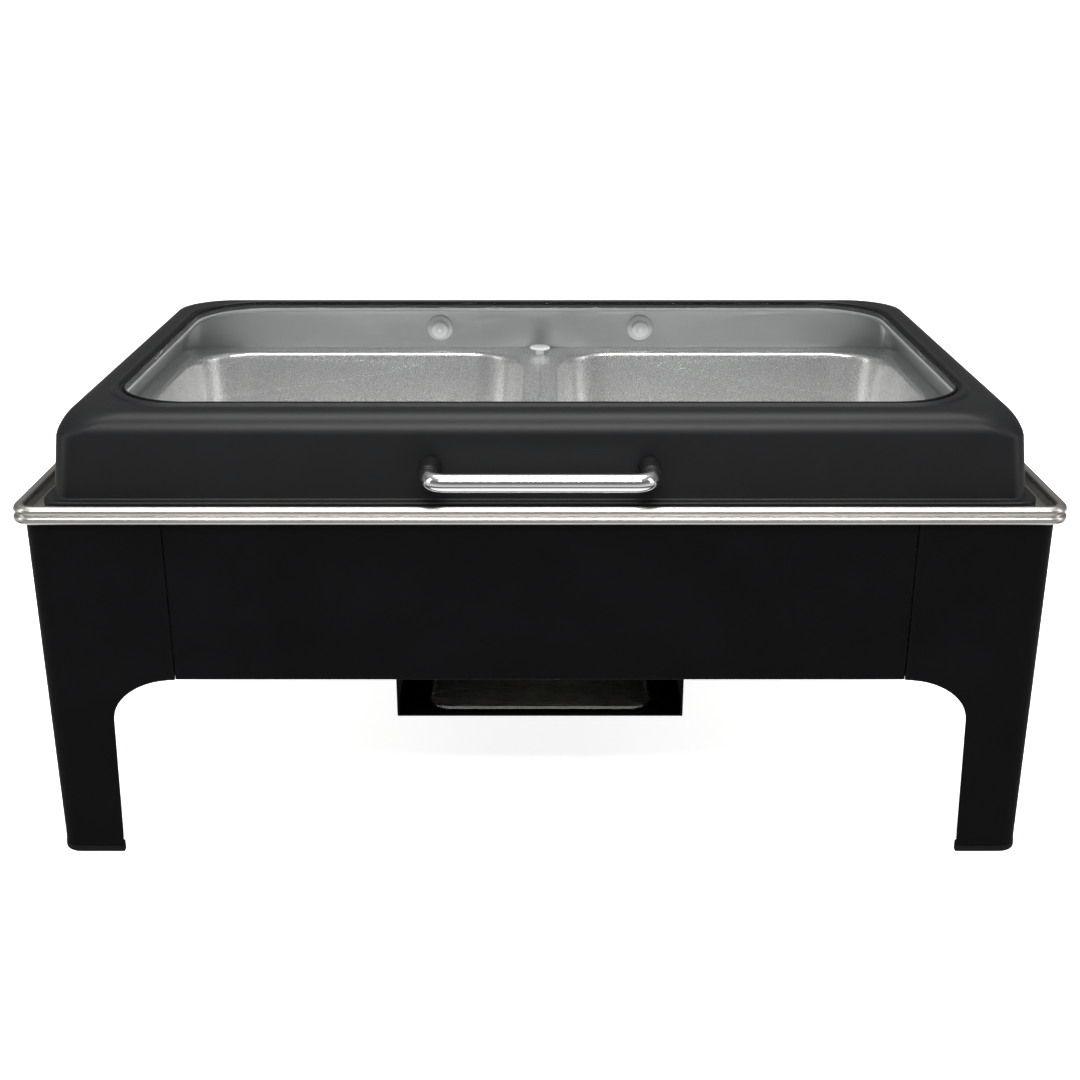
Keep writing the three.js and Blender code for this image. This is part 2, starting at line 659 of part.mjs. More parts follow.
// A clear silicone stop standing on the seam between the two pans.
const bumperFoot = FOOD_FLANGE_TOP + CLEAR;
const bumperProfile = [
  [0, bumperFoot],
  [3, bumperFoot],
  [3, bumperFoot + 1.8],
  [2.2, bumperFoot + 2.4],
  [2.2, bumperFoot + 3.6],
  [6.6, bumperFoot + 3.8],
  [7.3, bumperFoot + 4.4],
  [7.3, bumperFoot + 5.1],
  [6.4, bumperFoot + 5.6],
  [0, bumperFoot + 5.8],
];
add("pan_bumper", moved(turned(bumperProfile), 0, 140.5), clearSilicone);

// ---- Lid: shell, window, handle --------------------------------------------------------------

const wallSlope = (LID_WALL - LID_SHOULDER_WALL) / (LID_SHOULDER_Z - LID_WALL_BOTTOM);

// Half depth of the lid wall's outer face at a height.
function wallAt(z) {
  return LID_WALL - wallSlope * (z - LID_WALL_BOTTOM);
}

// Takes a piece made round Z, with the lid's rear wall at z = 0 and outdoors up, to its bolt hole.
const wallTilt = Math.atan(wallSlope);
function onRearWall(geometry, x) {
  const placed = geometry.clone().rotateX(wallTilt - Math.PI / 2);
  return placed.translate(x, wallAt(HINGE_BOLT_Z) - LID_SHEET / 2, HINGE_BOLT_Z);
}

const shoulderCentre = LID_SHOULDER_WALL - LID_SHOULDER;
const shoulderArc = (radius, from, to) =>
  arc(shoulderCentre, LID_SHOULDER_Z, radius, from, to, 4).map(([d, z]) => {
    const rise = (z - LID_SHOULDER_Z) / radius;
    return [d, z, LID_CORNER + 19 * rise];
  });

const lidProfile = [
  [LID_FLANGE - LID_SHEET, LID_LIP_BOTTOM, 11],
  [LID_FLANGE, LID_LIP_BOTTOM, 12],
  [LID_FLANGE, LID_FLANGE_TOP - 0.8, 12],
  [LID_FLANGE - 0.8, LID_FLANGE_TOP, 12],
  [LID_WALL + 1.3, LID_FLANGE_TOP, LID_CORNER],
  [LID_WALL + 0.4, LID_FLANGE_TOP + 0.4, LID_CORNER],
  [LID_WALL, LID_WALL_BOTTOM, LID_CORNER],
  ...shoulderArc(LID_SHOULDER, 0, 90),
  [142.2, LID_TOP, 41],
  [141.4, LID_TOP + 0.4, 43],
  [140.4, LID_TOP + 1.3, 44],
  [139.4, LID_TOP + WINDOW_BEAD, 45],
  [138.2, LID_TOP + 1.3, WINDOW_CORNER],
  [WINDOW_EDGE, LID_TOP + 0.5, WINDOW_CORNER],
  [WINDOW_EDGE, 255, WINDOW_CORNER],
  [WINDOW_EDGE + LID_SHEET, 255, WINDOW_CORNER],
  [WINDOW_EDGE + LID_SHEET, LID_TOP - LID_SHEET, WINDOW_CORNER],
  ...shoulderArc(LID_SHOULDER - LID_SHEET, 90, 0),
  [LID_WALL - LID_SHEET, LID_WALL_BOTTOM, LID_CORNER - LID_SHEET],
  [LID_WALL - LID_SHEET, LID_FLANGE_TOP - LID_SHEET, LID_CORNER - LID_SHEET],
  [LID_FLANGE - LID_SHEET, LID_FLANGE_TOP - LID_SHEET, 11],
];

function lidShell() {
  const boltHoles = SIDES.map(([, side]) =>
    onRearWall(turned([[0, -4], [2.7, -4], [2.7, 4], [0, 4]], 16), side * HINGE_ARM_X),
  );
  const screwHoles = SIDES.map(([, side]) => barAlongY(2.6, side * HANDLE_HALF, -170, -150, HANDLE_Z, 16));
  return cut(nested([...lidProfile, lidProfile[0]]), ...boltHoles, ...screwHoles);
}
add("lid_shell", lidShell(), lidBlack);

const glassBottom = GLASS_TOP - GLASS_SHEET;
add("window_glass", plate(GLASS_DEPTH + SPREAD, GLASS_DEPTH, 45, glassBottom, GLASS_TOP), clearGlass);

const gasketOuter = WINDOW_EDGE - CLEAR;
const grooveDepth = GLASS_DEPTH + CLEAR;
const gasketProfile = [
  [133.4, glassBottom - 1.2, WINDOW_CORNER - 3],
  [gasketOuter, glassBottom - 1.2, WINDOW_CORNER],
  [gasketOuter, GLASS_TOP + 0.8, WINDOW_CORNER],
  [134.7, GLASS_TOP + 0.8, WINDOW_CORNER - 2],
  [134.7, GLASS_TOP + CLEAR, WINDOW_CORNER - 2],
  [grooveDepth, GLASS_TOP + CLEAR, WINDOW_CORNER - 1],
  [grooveDepth, glassBottom - CLEAR, WINDOW_CORNER - 1],
  [133.4, glassBottom - CLEAR, WINDOW_CORNER - 3],
];
add("window_gasket", nested([...gasketProfile, gasketProfile[0]]), blackRubber);

const retainerTop = glassBottom - 1.2 - CLEAR;
const retainerProfile = [
  [134.5, retainerTop - 1.2, WINDOW_CORNER - 2],
  [142, retainerTop - 1.2, WINDOW_CORNER],
  [142, retainerTop, WINDOW_CORNER],
  [134.5, retainerTop, WINDOW_CORNER - 2],
];
add("window_retainer", nested([...retainerProfile, retainerProfile[0]]), satinSteel);

function lidHandle() {
  const bendX = HANDLE_HALF - HANDLE_BEND;
  const bendY = HANDLE_Y + HANDLE_BEND;
  const bend = arc(bendX, bendY, HANDLE_BEND, 0, -90, 6).map(([x, y]) => [x, y, HANDLE_Z]);
  const half = [[HANDLE_HALF, HANDLE_TAIL, HANDLE_Z], ...bend];
  const otherHalf = half.map(([x, y, z]) => [-x, y, z]).reverse();
  const tube = barAlong([...half, ...otherHalf], HANDLE_RADIUS, 10, 40);
  const bores = SIDES.map(([, side]) =>
    barAlongY(2.4, side * HANDLE_HALF, -185, HANDLE_TAIL + 3, HANDLE_Z, 16),
  );
  return cut(tube, ...bores);
}
add("lid_handle", lidHandle(), chromeSteel);

const ferruleEnd = -HANDLE_TAIL - CLEAR;
const behindFrontWall = alongX(
  [
    [-wallAt(215) - CLEAR, 215],
    [-wallAt(250) - CLEAR, 250],
    [-120, 250],
    [-120, 215],
  ],
  -70, 70,
);
for (const [name, side] of SIDES) {
  const x = side * HANDLE_HALF;
  const sleeve = turnedAlongY(
    [[0, 0], [5.4, 0], [5.9, 0.8], [6.2, ferruleEnd - 155], [0, ferruleEnd - 155]], x, -ferruleEnd, HANDLE_Z,
  );
  const bore = barAlongY(2.5, x, -190, -150, HANDLE_Z, 16);
  add(`handle_ferrule_${name}`, cut(sleeve, behindFrontWall, bore), blackPlastic);
  const screwProfile = [[0, 0], [2, 0], [2, 24.6], [4.5, 24.6], [4.5, 26.4], [3.4, 27.4], [0, 27.4]];
  add(`handle_screw_${name}`, turnedAlongY(screwProfile, x, -184.5, HANDLE_Z), zincSteel);
}

// ---- Hinge at the back -----------------------------------------------------------------------

const pinBore = barAlongX(HINGE_BORE, -110, 110, HINGE_Y, HINGE_Z);

function hingeBase() {
  const plateFace = RIM_DEPTH + CLEAR;
  const upright = block(-98, plateFace, 204.5, 98, plateFace + 3, 213.4);
  const knuckles = [[-97, -87], [-61, -51], [51, 61], [87, 97]].flatMap(([x0, x1]) => [
    barAlongX(KNUCKLE, x0, x1, HINGE_Y, HINGE_Z),
    block(x0, plateFace + 2.5, 209.2, x1, HINGE_Y - 1, HINGE_Z - 0.5),
  ]);
  const damperSpace = barAlongX(DAMPER + CLEAR, -50.5, 50.5, HINGE_Y, HINGE_Z);
  return cut(join(upright, ...knuckles), pinBore, damperSpace);
}
add("hinge_base", hingeBase(), zincSteel);

const pinProfile = [[0, 0], [4.6, 0], [4.6, 2], [HINGE_PIN, 2], [HINGE_PIN, 198.6], [4.6, 198.6], [4.6, 200.6], [0, 200.6]];
add("hinge_pin", turned(pinProfile).rotateY(Math.PI / 2).translate(-100.3, HINGE_Y, HINGE_Z), zincSteel);

const damperProfile = [
  [HINGE_BORE, -50], [DAMPER - 1, -50], [DAMPER, -49], [DAMPER, 49], [DAMPER - 1, 50], [HINGE_BORE, 50], [HINGE_BORE, -50],
];
add("hinge_damper", turned(damperProfile).rotateY(Math.PI / 2).translate(0, HINGE_Y, HINGE_Z), standBlack);

const ARM_SHEET = 2.5;
const armOutline = [
  [wallAt(216) + CLEAR, 216],
  [HINGE_Y, 216],
  [HINGE_Y, 219],
  [wallAt(219) + CLEAR + ARM_SHEET, 219],
  [wallAt(244) + CLEAR + ARM_SHEET, 244],
  [wallAt(244) + CLEAR, 244],
];
const boltProfile = [[0, -5.5], [2.4, -5.5], [2.4, 3.6], [4.6, 3.6], [4.6, 5.4], [3.2, 6.6], [0, 6.8]];
const capProfile = [
  [0, -9], [1.7, -9], [2.3, -8.4], [2.3, -7.2], [5.4, -7], [6.25, -6.4], [6.25, -2.4],
  [9, -2.2], [9.5, -1.6], [9.5, -0.8], [5, -0.8], [5, -5.9], [0, -5.9],
];
for (const [name, side] of SIDES) {
  const x = side * HINGE_ARM_X;
  const x0 = x - HINGE_ARM_WIDTH / 2;
  const x1 = x + HINGE_ARM_WIDTH / 2;
  const arm = join(alongX(armOutline, x0, x1), barAlongX(KNUCKLE, x0, x1, HINGE_Y, HINGE_Z));
  const boltHole = onRearWall(turned([[0, -4], [2.7, -4], [2.7, 8], [0, 8]], 16), x);
  add(`hinge_arm_${name}`, cut(arm, pinBore, boltHole), zincSteel);
  add(`hinge_bolt_${name}`, onRearWall(turned(boltProfile, 16), x), zincSteel);
  add(`bolt_cap_${name}`, onRearWall(turned(capProfile, 20), x), clearSilicone);
}

export default group;
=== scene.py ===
"""Looks of an electric buffet server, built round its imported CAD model.

Sizes are in millimetres until a mesh is made, and then in metres. +Z is up, the front faces -Y.
"""

import json
import math

import bmesh
import bpy
from mathutils import Matrix, Vector


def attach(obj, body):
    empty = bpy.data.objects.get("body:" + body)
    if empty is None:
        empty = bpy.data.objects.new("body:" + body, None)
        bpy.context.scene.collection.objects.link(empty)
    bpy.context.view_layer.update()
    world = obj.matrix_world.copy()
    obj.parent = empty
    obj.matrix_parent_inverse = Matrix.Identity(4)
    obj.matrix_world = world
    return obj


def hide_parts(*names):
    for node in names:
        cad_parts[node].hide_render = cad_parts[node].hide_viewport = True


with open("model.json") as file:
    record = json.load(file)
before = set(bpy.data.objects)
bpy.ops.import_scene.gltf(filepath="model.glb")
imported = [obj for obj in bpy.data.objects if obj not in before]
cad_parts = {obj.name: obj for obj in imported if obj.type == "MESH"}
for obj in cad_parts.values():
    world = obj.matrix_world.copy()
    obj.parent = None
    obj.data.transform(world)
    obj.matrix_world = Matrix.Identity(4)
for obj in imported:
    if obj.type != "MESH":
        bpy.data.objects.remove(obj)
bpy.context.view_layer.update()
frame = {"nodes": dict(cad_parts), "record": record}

MM = 0.001
SIDES = (("left", -1), ("right", 1))
CORNERS = (
    ("front_left", -1, -1),
    ("front_right", 1, -1),
    ("back_left", -1, 1),
    ("back_right", 1, 1),
)
BODY_OF = {
    node: body for body, nodes in frame["record"]["behaviour"]["bodies"].items() for node in nodes
}

# ---- Sizes, in millimetres ------------------------------------------------------------------

SPREAD = 102.5
GAP = 0.3

STAND_DEPTH = 176.5
STAND_WIDTH = STAND_DEPTH + SPREAD
STAND_TOP = 205.5
STAND_CORNER = 11
LEG_SHEET = 2
LEG_ARM = 74.9
LEG_TIP = 35.7
LEG_WAIST = 38.2
LEG_BOTTOM = 1.8
ARCH_SPRING = 84.3
APRON_BOTTOM = 110.5

RIM_DEPTH = 181.5
RIM_TOP = 213.9
RIM_BOTTOM = 203.9
RIM_ROLL = 3.15
PAN_SHEET = 1.2
GUTTER_TOP = 207
COLLAR_DEPTH = 161.4
LEDGE_TOP = 219.2
TUB_DEPTH = 155.5
TUB_FLOOR = 125

FOOD_FLANGE = 161.6
FOOD_TOP = 220.5
FOOD_SHEET = 0.9
FOOD_FLOOR = FOOD_TOP - 65
FOOD_CENTRE = 132.3
FOOD_SPREAD = 132.2 - FOOD_FLANGE

LID_FLANGE = 168.5
LID_FLANGE_TOP = 212.8
LID_SHEET = 1
LID_WALL = 163.9
LID_WALL_BOTTOM = 214.2
LID_SHOULDER_WALL = 160.6
LID_SHOULDER_Z = 246
LID_SHOULDER = 13
LID_CORNER = 13
LID_TOP = LID_SHOULDER_Z + LID_SHOULDER
WINDOW_EDGE = 137.4
WINDOW_CORNER = 46
GLASS_DEPTH = 135.9
GLASS_TOP = 259.4
GLASS_BOTTOM = GLASS_TOP - 3.6

HANDLE_Y = -190
HANDLE_Z = 231
HANDLE_RADIUS = 5
HANDLE_HALF = 59
HANDLE_BEND = 9.5
HANDLE_TAIL = -178.7

HINGE_Y = 191
HINGE_Z = 214
HINGE_BOLT_Z = 236
HINGE_ARM_X = 74

CONTROL_Z = 87.5
PANEL_BACK = 129.5
KNOB_X = -54
LAMP_X = -24

# ---- Mesh helpers ---------------------------------------------------------------------------


def arc(a, b, radius, start, stop, steps):
    """Points of an arc in a plane, between two angles in degrees."""
    turns = [math.radians(start + (stop - start) * i / steps) for i in range(steps + 1)]
    return [(a + radius * math.cos(t), b + radius * math.sin(t)) for t in turns]


def filleted(points, closed=False, steps=5):
    """Rounds a profile's corners: a fourth number is the length that a corner takes off its sides.

    Returns the finer profile, and for each of its points the index of the corner it came from.
    """
    finer, source = [], []
    count = len(points)
    for i, point in enumerate(points):
        place = Vector(point[:3])
        cut = point[3] if len(point) > 3 else 0
        if not cut or (not closed and i in (0, count - 1)):
            finer.append(place)
            source.append(i)
            continue
        ends = []
        for other in (points[i - 1], points[(i + 1) % count]):
            way = Vector(other[:3]) - place
            ends.append(place + way * min(cut / math.hypot(way.x, way.y), 1))
        for k in range(steps + 1):
            s = k / steps
            finer.append(ends[0] * (1 - s) ** 2 + place * 2 * s * (1 - s) + ends[1] * s**2)
            source.append(i)
    return finer, source


def shell(rings, closed):
    """Joins rings of points into faces; a ring of one point closes the surface on its axis."""
    points, first = [], []
    for ring in rings:
        first.append(len(points))
        points.extend(ring)
    faces, bands = [], []
    last = len(rings) if closed else len(rings) - 1
    for a in range(last):
        b = (a + 1) % len(rings)
        size_a, size_b = len(rings[a]), len(rings[b])
        size = max(size_a, size_b)
        for i in range(size):
            j = (i + 1) % size
            loop = (
                first[a] + i % size_a,
                first[a] + j % size_a,
                first[b] + j % size_b,
                first[b] + i % size_b,
            )
            face = list(dict.fromkeys(loop))
            if len(face) > 2:
                faces.append(face)
                bands.append(a)
    return points, faces, bands


def made(name, points, faces, materials, node, bands=None, sharp=34, stands_for=()):
    """A piece from points in millimetres, with its node's body and material slot."""
    mesh = bpy.data.meshes.new(name)
    mesh.from_pydata([Vector(p) * MM for p in points], [], faces)
    work = bmesh.new()
    work.from_mesh(mesh)
    bmesh.ops.recalc_face_normals(work, faces=work.faces)
    work.to_mesh(mesh)
    work.free()
    for material in materials:
        mesh.materials.append(material)
    if bands:
        mesh.polygons.foreach_set("material_index", bands)
    mesh.shade_smooth()
    if sharp:
        mesh.set_sharp_from_angle(angle=math.radians(sharp))
    piece = bpy.data.objects.new(name, mesh)
    bpy.context.scene.collection.objects.link(piece)
    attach(piece, BODY_OF[node])
    for gone in stands_for:
        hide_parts(gone)
    return piece


def stand_in(node, points, faces, materials, bands=None, sharp=34):
    """A piece that is shown in place of one CAD node."""
    return made(f"{node}_piece", points, faces, materials, node, bands, sharp, (node,))


def softened(piece, width, segments=2):
    """Rounds a piece's edges, and keeps its flat faces flat."""
    edges = piece.modifiers.new("edges", "BEVEL")
    edges.width = width * MM
    edges.segments = segments
    edges.limit_method = "ANGLE"
    edges.angle_limit = math.radians(40)
    edges.harden_normals = True
    edges.use_clamp_overlap = True
    return piece


def refined(node, material, width=0.3, segments=2):
    """A CAD node whose form is right, with its faces cleaned up and its edges rounded."""
    work = bmesh.new()
    work.from_mesh(frame["nodes"][node].data)
    bmesh.ops.remove_doubles(work, verts=work.verts, dist=0.02 * MM)
    bmesh.ops.dissolve_limit(
        work, angle_limit=math.radians(0.5), verts=work.verts, edges=work.edges
    )
    points = [tuple(v.co / MM) for v in work.verts]
    faces = [[v.index for v in f.verts] for f in work.faces]
    work.free()
    piece = stand_in(node, points, faces, [material], sharp=0)
    return softened(piece, width, segments)


def nested_ring(d, z, r, spread, steps):
    """One ring of a rounded rectangle. Its half depth is d and its half width is d + spread."""
    ring = []
    for column in range(4 * (steps + 1)):
        quarter, step = divmod(column, steps + 1)
        turn = (quarter + step / steps) * math.pi / 2
        side_x = 1 if quarter < 2 else -1
        side_y = 1 if quarter in (1, 2) else -1
        x = side_x * (d + spread - r) + r * math.sin(turn)
        y = side_y * (d - r) - r * math.cos(turn)
        ring.append((x, y, z))
    return ring


def nested(profile, closed=True, spread=SPREAD, steps=14, fillet=5):
    """Sweeps a profile of (half depth, z, corner radius) round a rounded rectangle."""
    finer, source = filleted(profile, closed, fillet)
    rings = []
    for d, z, r in finer:
        on_axis = d == 0 and r == 0
        rings.append([(0, 0, z)] if on_axis else nested_ring(d, z, r, spread, steps))
    points, faces, bands = shell(rings, closed)
    return points, faces, [source[band] for band in bands]


def turned(profile, segments=56, closed=False, fillet=4):
    """Turns a profile of (radius, height, corner length) round Z."""
    finer, _ = filleted([(p[0], p[1], 0, *p[2:]) for p in profile], closed, fillet)
    rings = []
    for r, h, _ in finer:
        if r < 1e-6:
            rings.append([(0, 0, h)])
            continue
        angles = [2 * math.pi * i / segments for i in range(segments)]
        rings.append([(r * math.cos(t), r * math.sin(t), h) for t in angles])
    points, faces, _ = shell(rings, closed)
    return points, faces


def placed(shape, matrix):
    """Moves a mesh's points by a matrix."""
    points, faces = shape[:2]
    return [tuple(matrix @ Vector(p)) for p in points], faces, *shape[2:]


def both(*shapes):
    """Several meshes as one."""
    points, faces = [], []
    for shape in shapes:
        base = len(points)
        points.extend(shape[0])
        faces.extend([[base + i for i in face] for face in shape[1]])
    return points, faces


def at(x, y, z, turn=None):
    """A matrix that turns a shape and then moves it."""
    return Matrix.Translation((x, y, z)) @ (turn or Matrix.Identity(4))


ALONG_Y = Matrix.Rotation(math.radians(-90), 4, "X")
ALONG_X = Matrix.Rotation(math.radians(90), 4, "Y")
OUTWARDS = Matrix.Rotation(math.radians(90), 4, "X")


def tube(path, radius, sides=20):
    """A round bar along a list of points, closed at both ends."""
    places = [Vector(p) for p in path]
    ways = []
    for i in range(len(places)):
        ahead = places[min(i + 1, len(places) - 1)] - places[max(i - 1, 0)]
        ways.append(ahead.normalized())
    across = ways[0].orthogonal().normalized()
    rings = [[tuple(places[0])]]
    for place, way in zip(places, ways):
        across = (across - way * across.dot(way)).normalized()
        side = way.cross(across)
        turns = [2 * math.pi * i / sides for i in range(sides)]
        rings.append([
            tuple(place + (across * math.cos(t) + side * math.sin(t)) * radius) for t in turns
        ])
    rings.append([tuple(places[-1])])
    return shell(rings, False)[:2]


def smooth_path(points, pieces=8):
    """A centripetal curve through a list of points."""
    knots = [Vector(p) for p in points]
    knots = [knots[0] * 2 - knots[1], *knots, knots[-1] * 2 - knots[-2]]
    path = []
    for a, b, c, d in zip(knots, knots[1:], knots[2:], knots[3:]):
        times = [0.0]
        for one, two in ((a, b), (b, c), (c, d)):
            times.append(times[-1] + math.sqrt((two - one).length))
        t0, t1, t2, t3 = times
        for i in range(pieces):
            t = t1 + (t2 - t1) * i / pieces
            ab = a.lerp(b, (t - t0) / (t1 - t0))
            bc = b.lerp(c, (t - t1) / (t2 - t1))
            cd = c.lerp(d, (t - t2) / (t3 - t2))
            abc = ab.lerp(bc, (t - t0) / (t2 - t0))
            bcd = bc.lerp(cd, (t - t1) / (t3 - t1))
            path.append(tuple(abc.lerp(bcd, (t - t1) / (t2 - t1))))
    path.append(tuple(knots[-2]))
    return path


def box(x0, y0, z0, x1, y1, z1):
    """A block's points and faces, from its lowest to its highest corner."""
    points = [(x, y, z) for z in (z0, z1) for y in (y0, y1) for x in (x0, x1)]
    faces = [(0, 2, 3, 1), (4, 5, 7, 6), (0, 1, 5, 4), (2, 6, 7, 3), (0, 4, 6, 2), (1, 3, 7, 5)]
    return points, [list(f) for f in faces]


# ---- Materials ------------------------------------------------------------------------------


def linked(tree, kind, **inputs):
    """A shader node with its inputs set, or joined to other nodes' outputs."""
    node = tree.nodes.new(kind)
    for name, value in inputs.items():
        socket = node.inputs[name.replace("_", " ")]
        if isinstance(value, bpy.types.NodeSocket):
            tree.links.new(value, socket)
        else:
            socket.default_value = value
    return node


def noise(tree, place, scale, detail=2.0, stretch=(1, 1, 1)):
    """A noise pattern's height, from 0 to 1, over the object's own metres."""
    mapping = linked(tree, "ShaderNodeMapping", Vector=place, Scale=stretch)
    cloud = linked(
        tree, "ShaderNodeTexNoise", Vector=mapping.outputs["Vector"], Scale=scale, Detail=detail
    )
    return cloud.outputs["Fac"]


def ranged(tree, value, low, high, start=0.3, end=0.7):
    """Maps a band of a value to a range. A noise pattern lies mostly within the default band."""
    node = tree.nodes.new("ShaderNodeMapRange")
    for socket, number in zip(node.inputs[1:5], (start, end, low, high)):
        socket.default_value = number
    tree.links.new(value, node.inputs[0])
    return node.outputs[0]


def blended(tree, value, dark, light):
    """A colour between two, by a pattern."""
    ramp = tree.nodes.new("ShaderNodeValToRGB")
    ramp.color_ramp.elements[0].position = 0.3
    ramp.color_ramp.elements[1].position = 0.7
    ramp.color_ramp.elements[0].color = (*dark, 1)
    ramp.color_ramp.elements[1].color = (*light, 1)
    tree.links.new(value, ramp.inputs["Fac"])
    return ramp.outputs["Color"]


def surface(
    name,
    colour,
    roughness,
    metallic=0.0,
    shift=0.12,
    patches=25,
    gloss=0.06,
    grain=900,
    relief=0.02,
    stretch=(1, 1, 1),
    **sockets,
):
    """A material with patchy colour and gloss, and a fine grain in its relief.

    shift and gloss are how far the colour and the roughness stray, patches and grain are the
    patterns' scales per metre, relief is the grain's depth in millimetres.
    """
    material = bpy.data.materials.new(name)
    material.use_nodes = True
    tree = material.node_tree
    shader = tree.nodes["Principled BSDF"]
    shader.inputs["Metallic"].default_value = metallic
    for socket, value in sockets.items():
        shader.inputs[socket.replace("_", " ")].default_value = value
    place = tree.nodes.new("ShaderNodeTexCoord").outputs["Object"]
    broad = noise(tree, place, patches, 3)
    fine = noise(tree, place, grain, 3, stretch)
    dark = [c * (1 - shift) for c in colour]
    light = [min(c * (1 + shift), 1) for c in colour]
    tree.links.new(blended(tree, broad, dark, light), shader.inputs["Base Color"])
    low, high = max(roughness - gloss, 0.02), roughness + gloss
    tree.links.new(ranged(tree, fine, low, high), shader.inputs["Roughness"])
    bump = linked(tree, "ShaderNodeBump", Height=fine, Distance=relief * MM, Strength=1.0)
    tree.links.new(bump.outputs["Normal"], shader.inputs["Normal"])
    return material


def see_through(name, colour, clear, steep, roughness, metallic=0.0):
    """A clear material: clear is how much passes straight through it, and steep how much of that
    is lost to gloss where the surface turns away from the eye."""
    material = bpy.data.materials.new(name)
    material.use_nodes = True
    tree = material.node_tree
    shader = tree.nodes["Principled BSDF"]
    shader.inputs["Metallic"].default_value = metallic
    place = tree.nodes.new("ShaderNodeTexCoord").outputs["Object"]
    smears = noise(tree, place, 9, 4)
    tree.links.new(
        ranged(tree, smears, roughness, roughness + 0.04), shader.inputs["Roughness"]
    )
    faded = [c * 0.94 for c in colour]
    tree.links.new(blended(tree, smears, faded, colour), shader.inputs["Base Color"])
    turn = linked(tree, "ShaderNodeLayerWeight", Blend=0.5)
    power = tree.nodes.new("ShaderNodeMath")
    power.operation = "POWER"
    power.inputs[1].default_value = 3
    tree.links.new(turn.outputs["Facing"], power.inputs[0])
    solid = ranged(tree, power.outputs[0], 1 - clear, 1 - clear + steep, 0, 1)
    tree.links.new(solid, shader.inputs["Alpha"])
    return material


LID_BLACK = surface(
    "lid_black", (0.0045, 0.0048, 0.0054), 0.42, grain=1400, relief=0.012, gloss=0.04,
    IOR=1.3,
)
STAND_BLACK = surface(
    "stand_black", (0.0021, 0.0022, 0.0026), 0.46, grain=1500, relief=0.018, gloss=0.06,
    IOR=1.13,
)
RIM_STEEL = surface(
    "rim_steel", (0.56, 0.54, 0.51), 0.3, 1, shift=0.04, grain=2200, relief=0.0002, gloss=0.015,
    stretch=(0.01, 0.01, 1),
)
PAN_STEEL = surface(
    "pan_steel", (0.8, 0.8, 0.79), 0.26, 0.85, shift=0.03, patches=14, grain=2600, relief=0.001,
    gloss=0.04, stretch=(1, 1, 0.5),
)
LINING_STEEL = surface(
    "lining_steel", (0.36, 0.37, 0.37), 0.42, 0.9, shift=0.05, grain=2400, relief=0.002,
    gloss=0.05, stretch=(0.2, 1, 1),
)
TRAY_STEEL = surface(
    "tray_steel", (0.7, 0.7, 0.68), 0.26, 1, shift=0.04, grain=2400, relief=0.0008, gloss=0.05,
    stretch=(0.03, 1, 1),
)
CHROME = surface(
    "chrome", (0.82, 0.82, 0.82), 0.12, 1, shift=0.02, grain=500, relief=0.001, gloss=0.02
)
ZINC = surface(
    "zinc", (0.47, 0.48, 0.5), 0.34, 1, shift=0.18, patches=60, grain=1000, relief=0.01, gloss=0.1
)
CAST = surface(
    "cast_aluminium", (0.5, 0.5, 0.5), 0.48, 1, shift=0.12, patches=80, grain=420, relief=0.12
)
SHEATH = surface(
    "element_sheath", (0.13, 0.12, 0.115), 0.45, 0.9, shift=0.45, patches=35, grain=1200,
    relief=0.02,
)
RUBBER = surface(
    "black_rubber", (0.004, 0.004, 0.004), 0.6, grain=1100, relief=0.03, shift=0.2, IOR=1.2
)
PLASTIC = surface(
    "black_plastic", (0.005, 0.005, 0.0055), 0.38, grain=1600, relief=0.02, IOR=1.3
)
CERAMIC = surface(
    "ceramic", (0.76, 0.72, 0.64), 0.5, shift=0.05, patches=120, grain=900, relief=0.03
)
WOOL = surface(
    "mineral_wool", (0.62, 0.56, 0.43), 0.95, shift=0.3, patches=220, grain=900, relief=0.6,
    stretch=(0.3, 1, 2),
)
AMBER = surface(
    "amber_lens", (0.75, 0.2, 0.03), 0.16, grain=320, relief=0.03, shift=0.12,
    Transmission_Weight=0.35,
)
RED = surface("red_rocker", (0.5, 0.02, 0.015), 0.3, grain=1500, relief=0.015, shift=0.08)
BRASS = surface("brass", (0.66, 0.47, 0.2), 0.28, 1, shift=0.1, patches=90, relief=0.006)
MILKY = surface("milky_silicone", (0.42, 0.44, 0.44), 0.35, grain=1500, relief=0.01, shift=0.05)
MARKS = surface("dial_marks", (0.62, 0.62, 0.6), 0.55, grain=1400, relief=0.01, shift=0.05)
GLASS = see_through("window_glass", (0.9, 0.93, 0.93), 0.97, 0.4, 0.01, 1.0)
SILICONE = see_through("clear_silicone", (0.97, 0.98, 0.98), 0.15, 0.9, 0.1)

# ---- Stand ----------------------------------------------------------------------------------

CORNER_STEPS = 10
EDGE_STEPS = 6


def corner_path(reach):
    """Places along the outer face round the front right corner: (x, y, outward x, outward y)."""
    path = []
    for i in range(EDGE_STEPS):
        along = reach + (STAND_CORNER - reach) * i / EDGE_STEPS
        path.append((STAND_WIDTH - along, -STAND_DEPTH, 0, -1))
    for i in range(CORNER_STEPS + 1):
        turn = math.radians(90 * i / CORNER_STEPS)
        x = STAND_WIDTH - STAND_CORNER + STAND_CORNER * math.sin(turn)
        y = -STAND_DEPTH + STAND_CORNER - STAND_CORNER * math.cos(turn)
        path.append((x, y, math.sin(turn), -math.cos(turn)))
    for i in range(1, EDGE_STEPS + 1):
        along = STAND_CORNER + (reach - STAND_CORNER) * i / EDGE_STEPS
        path.append((STAND_WIDTH, -STAND_DEPTH + along, 1, 0))
    return path


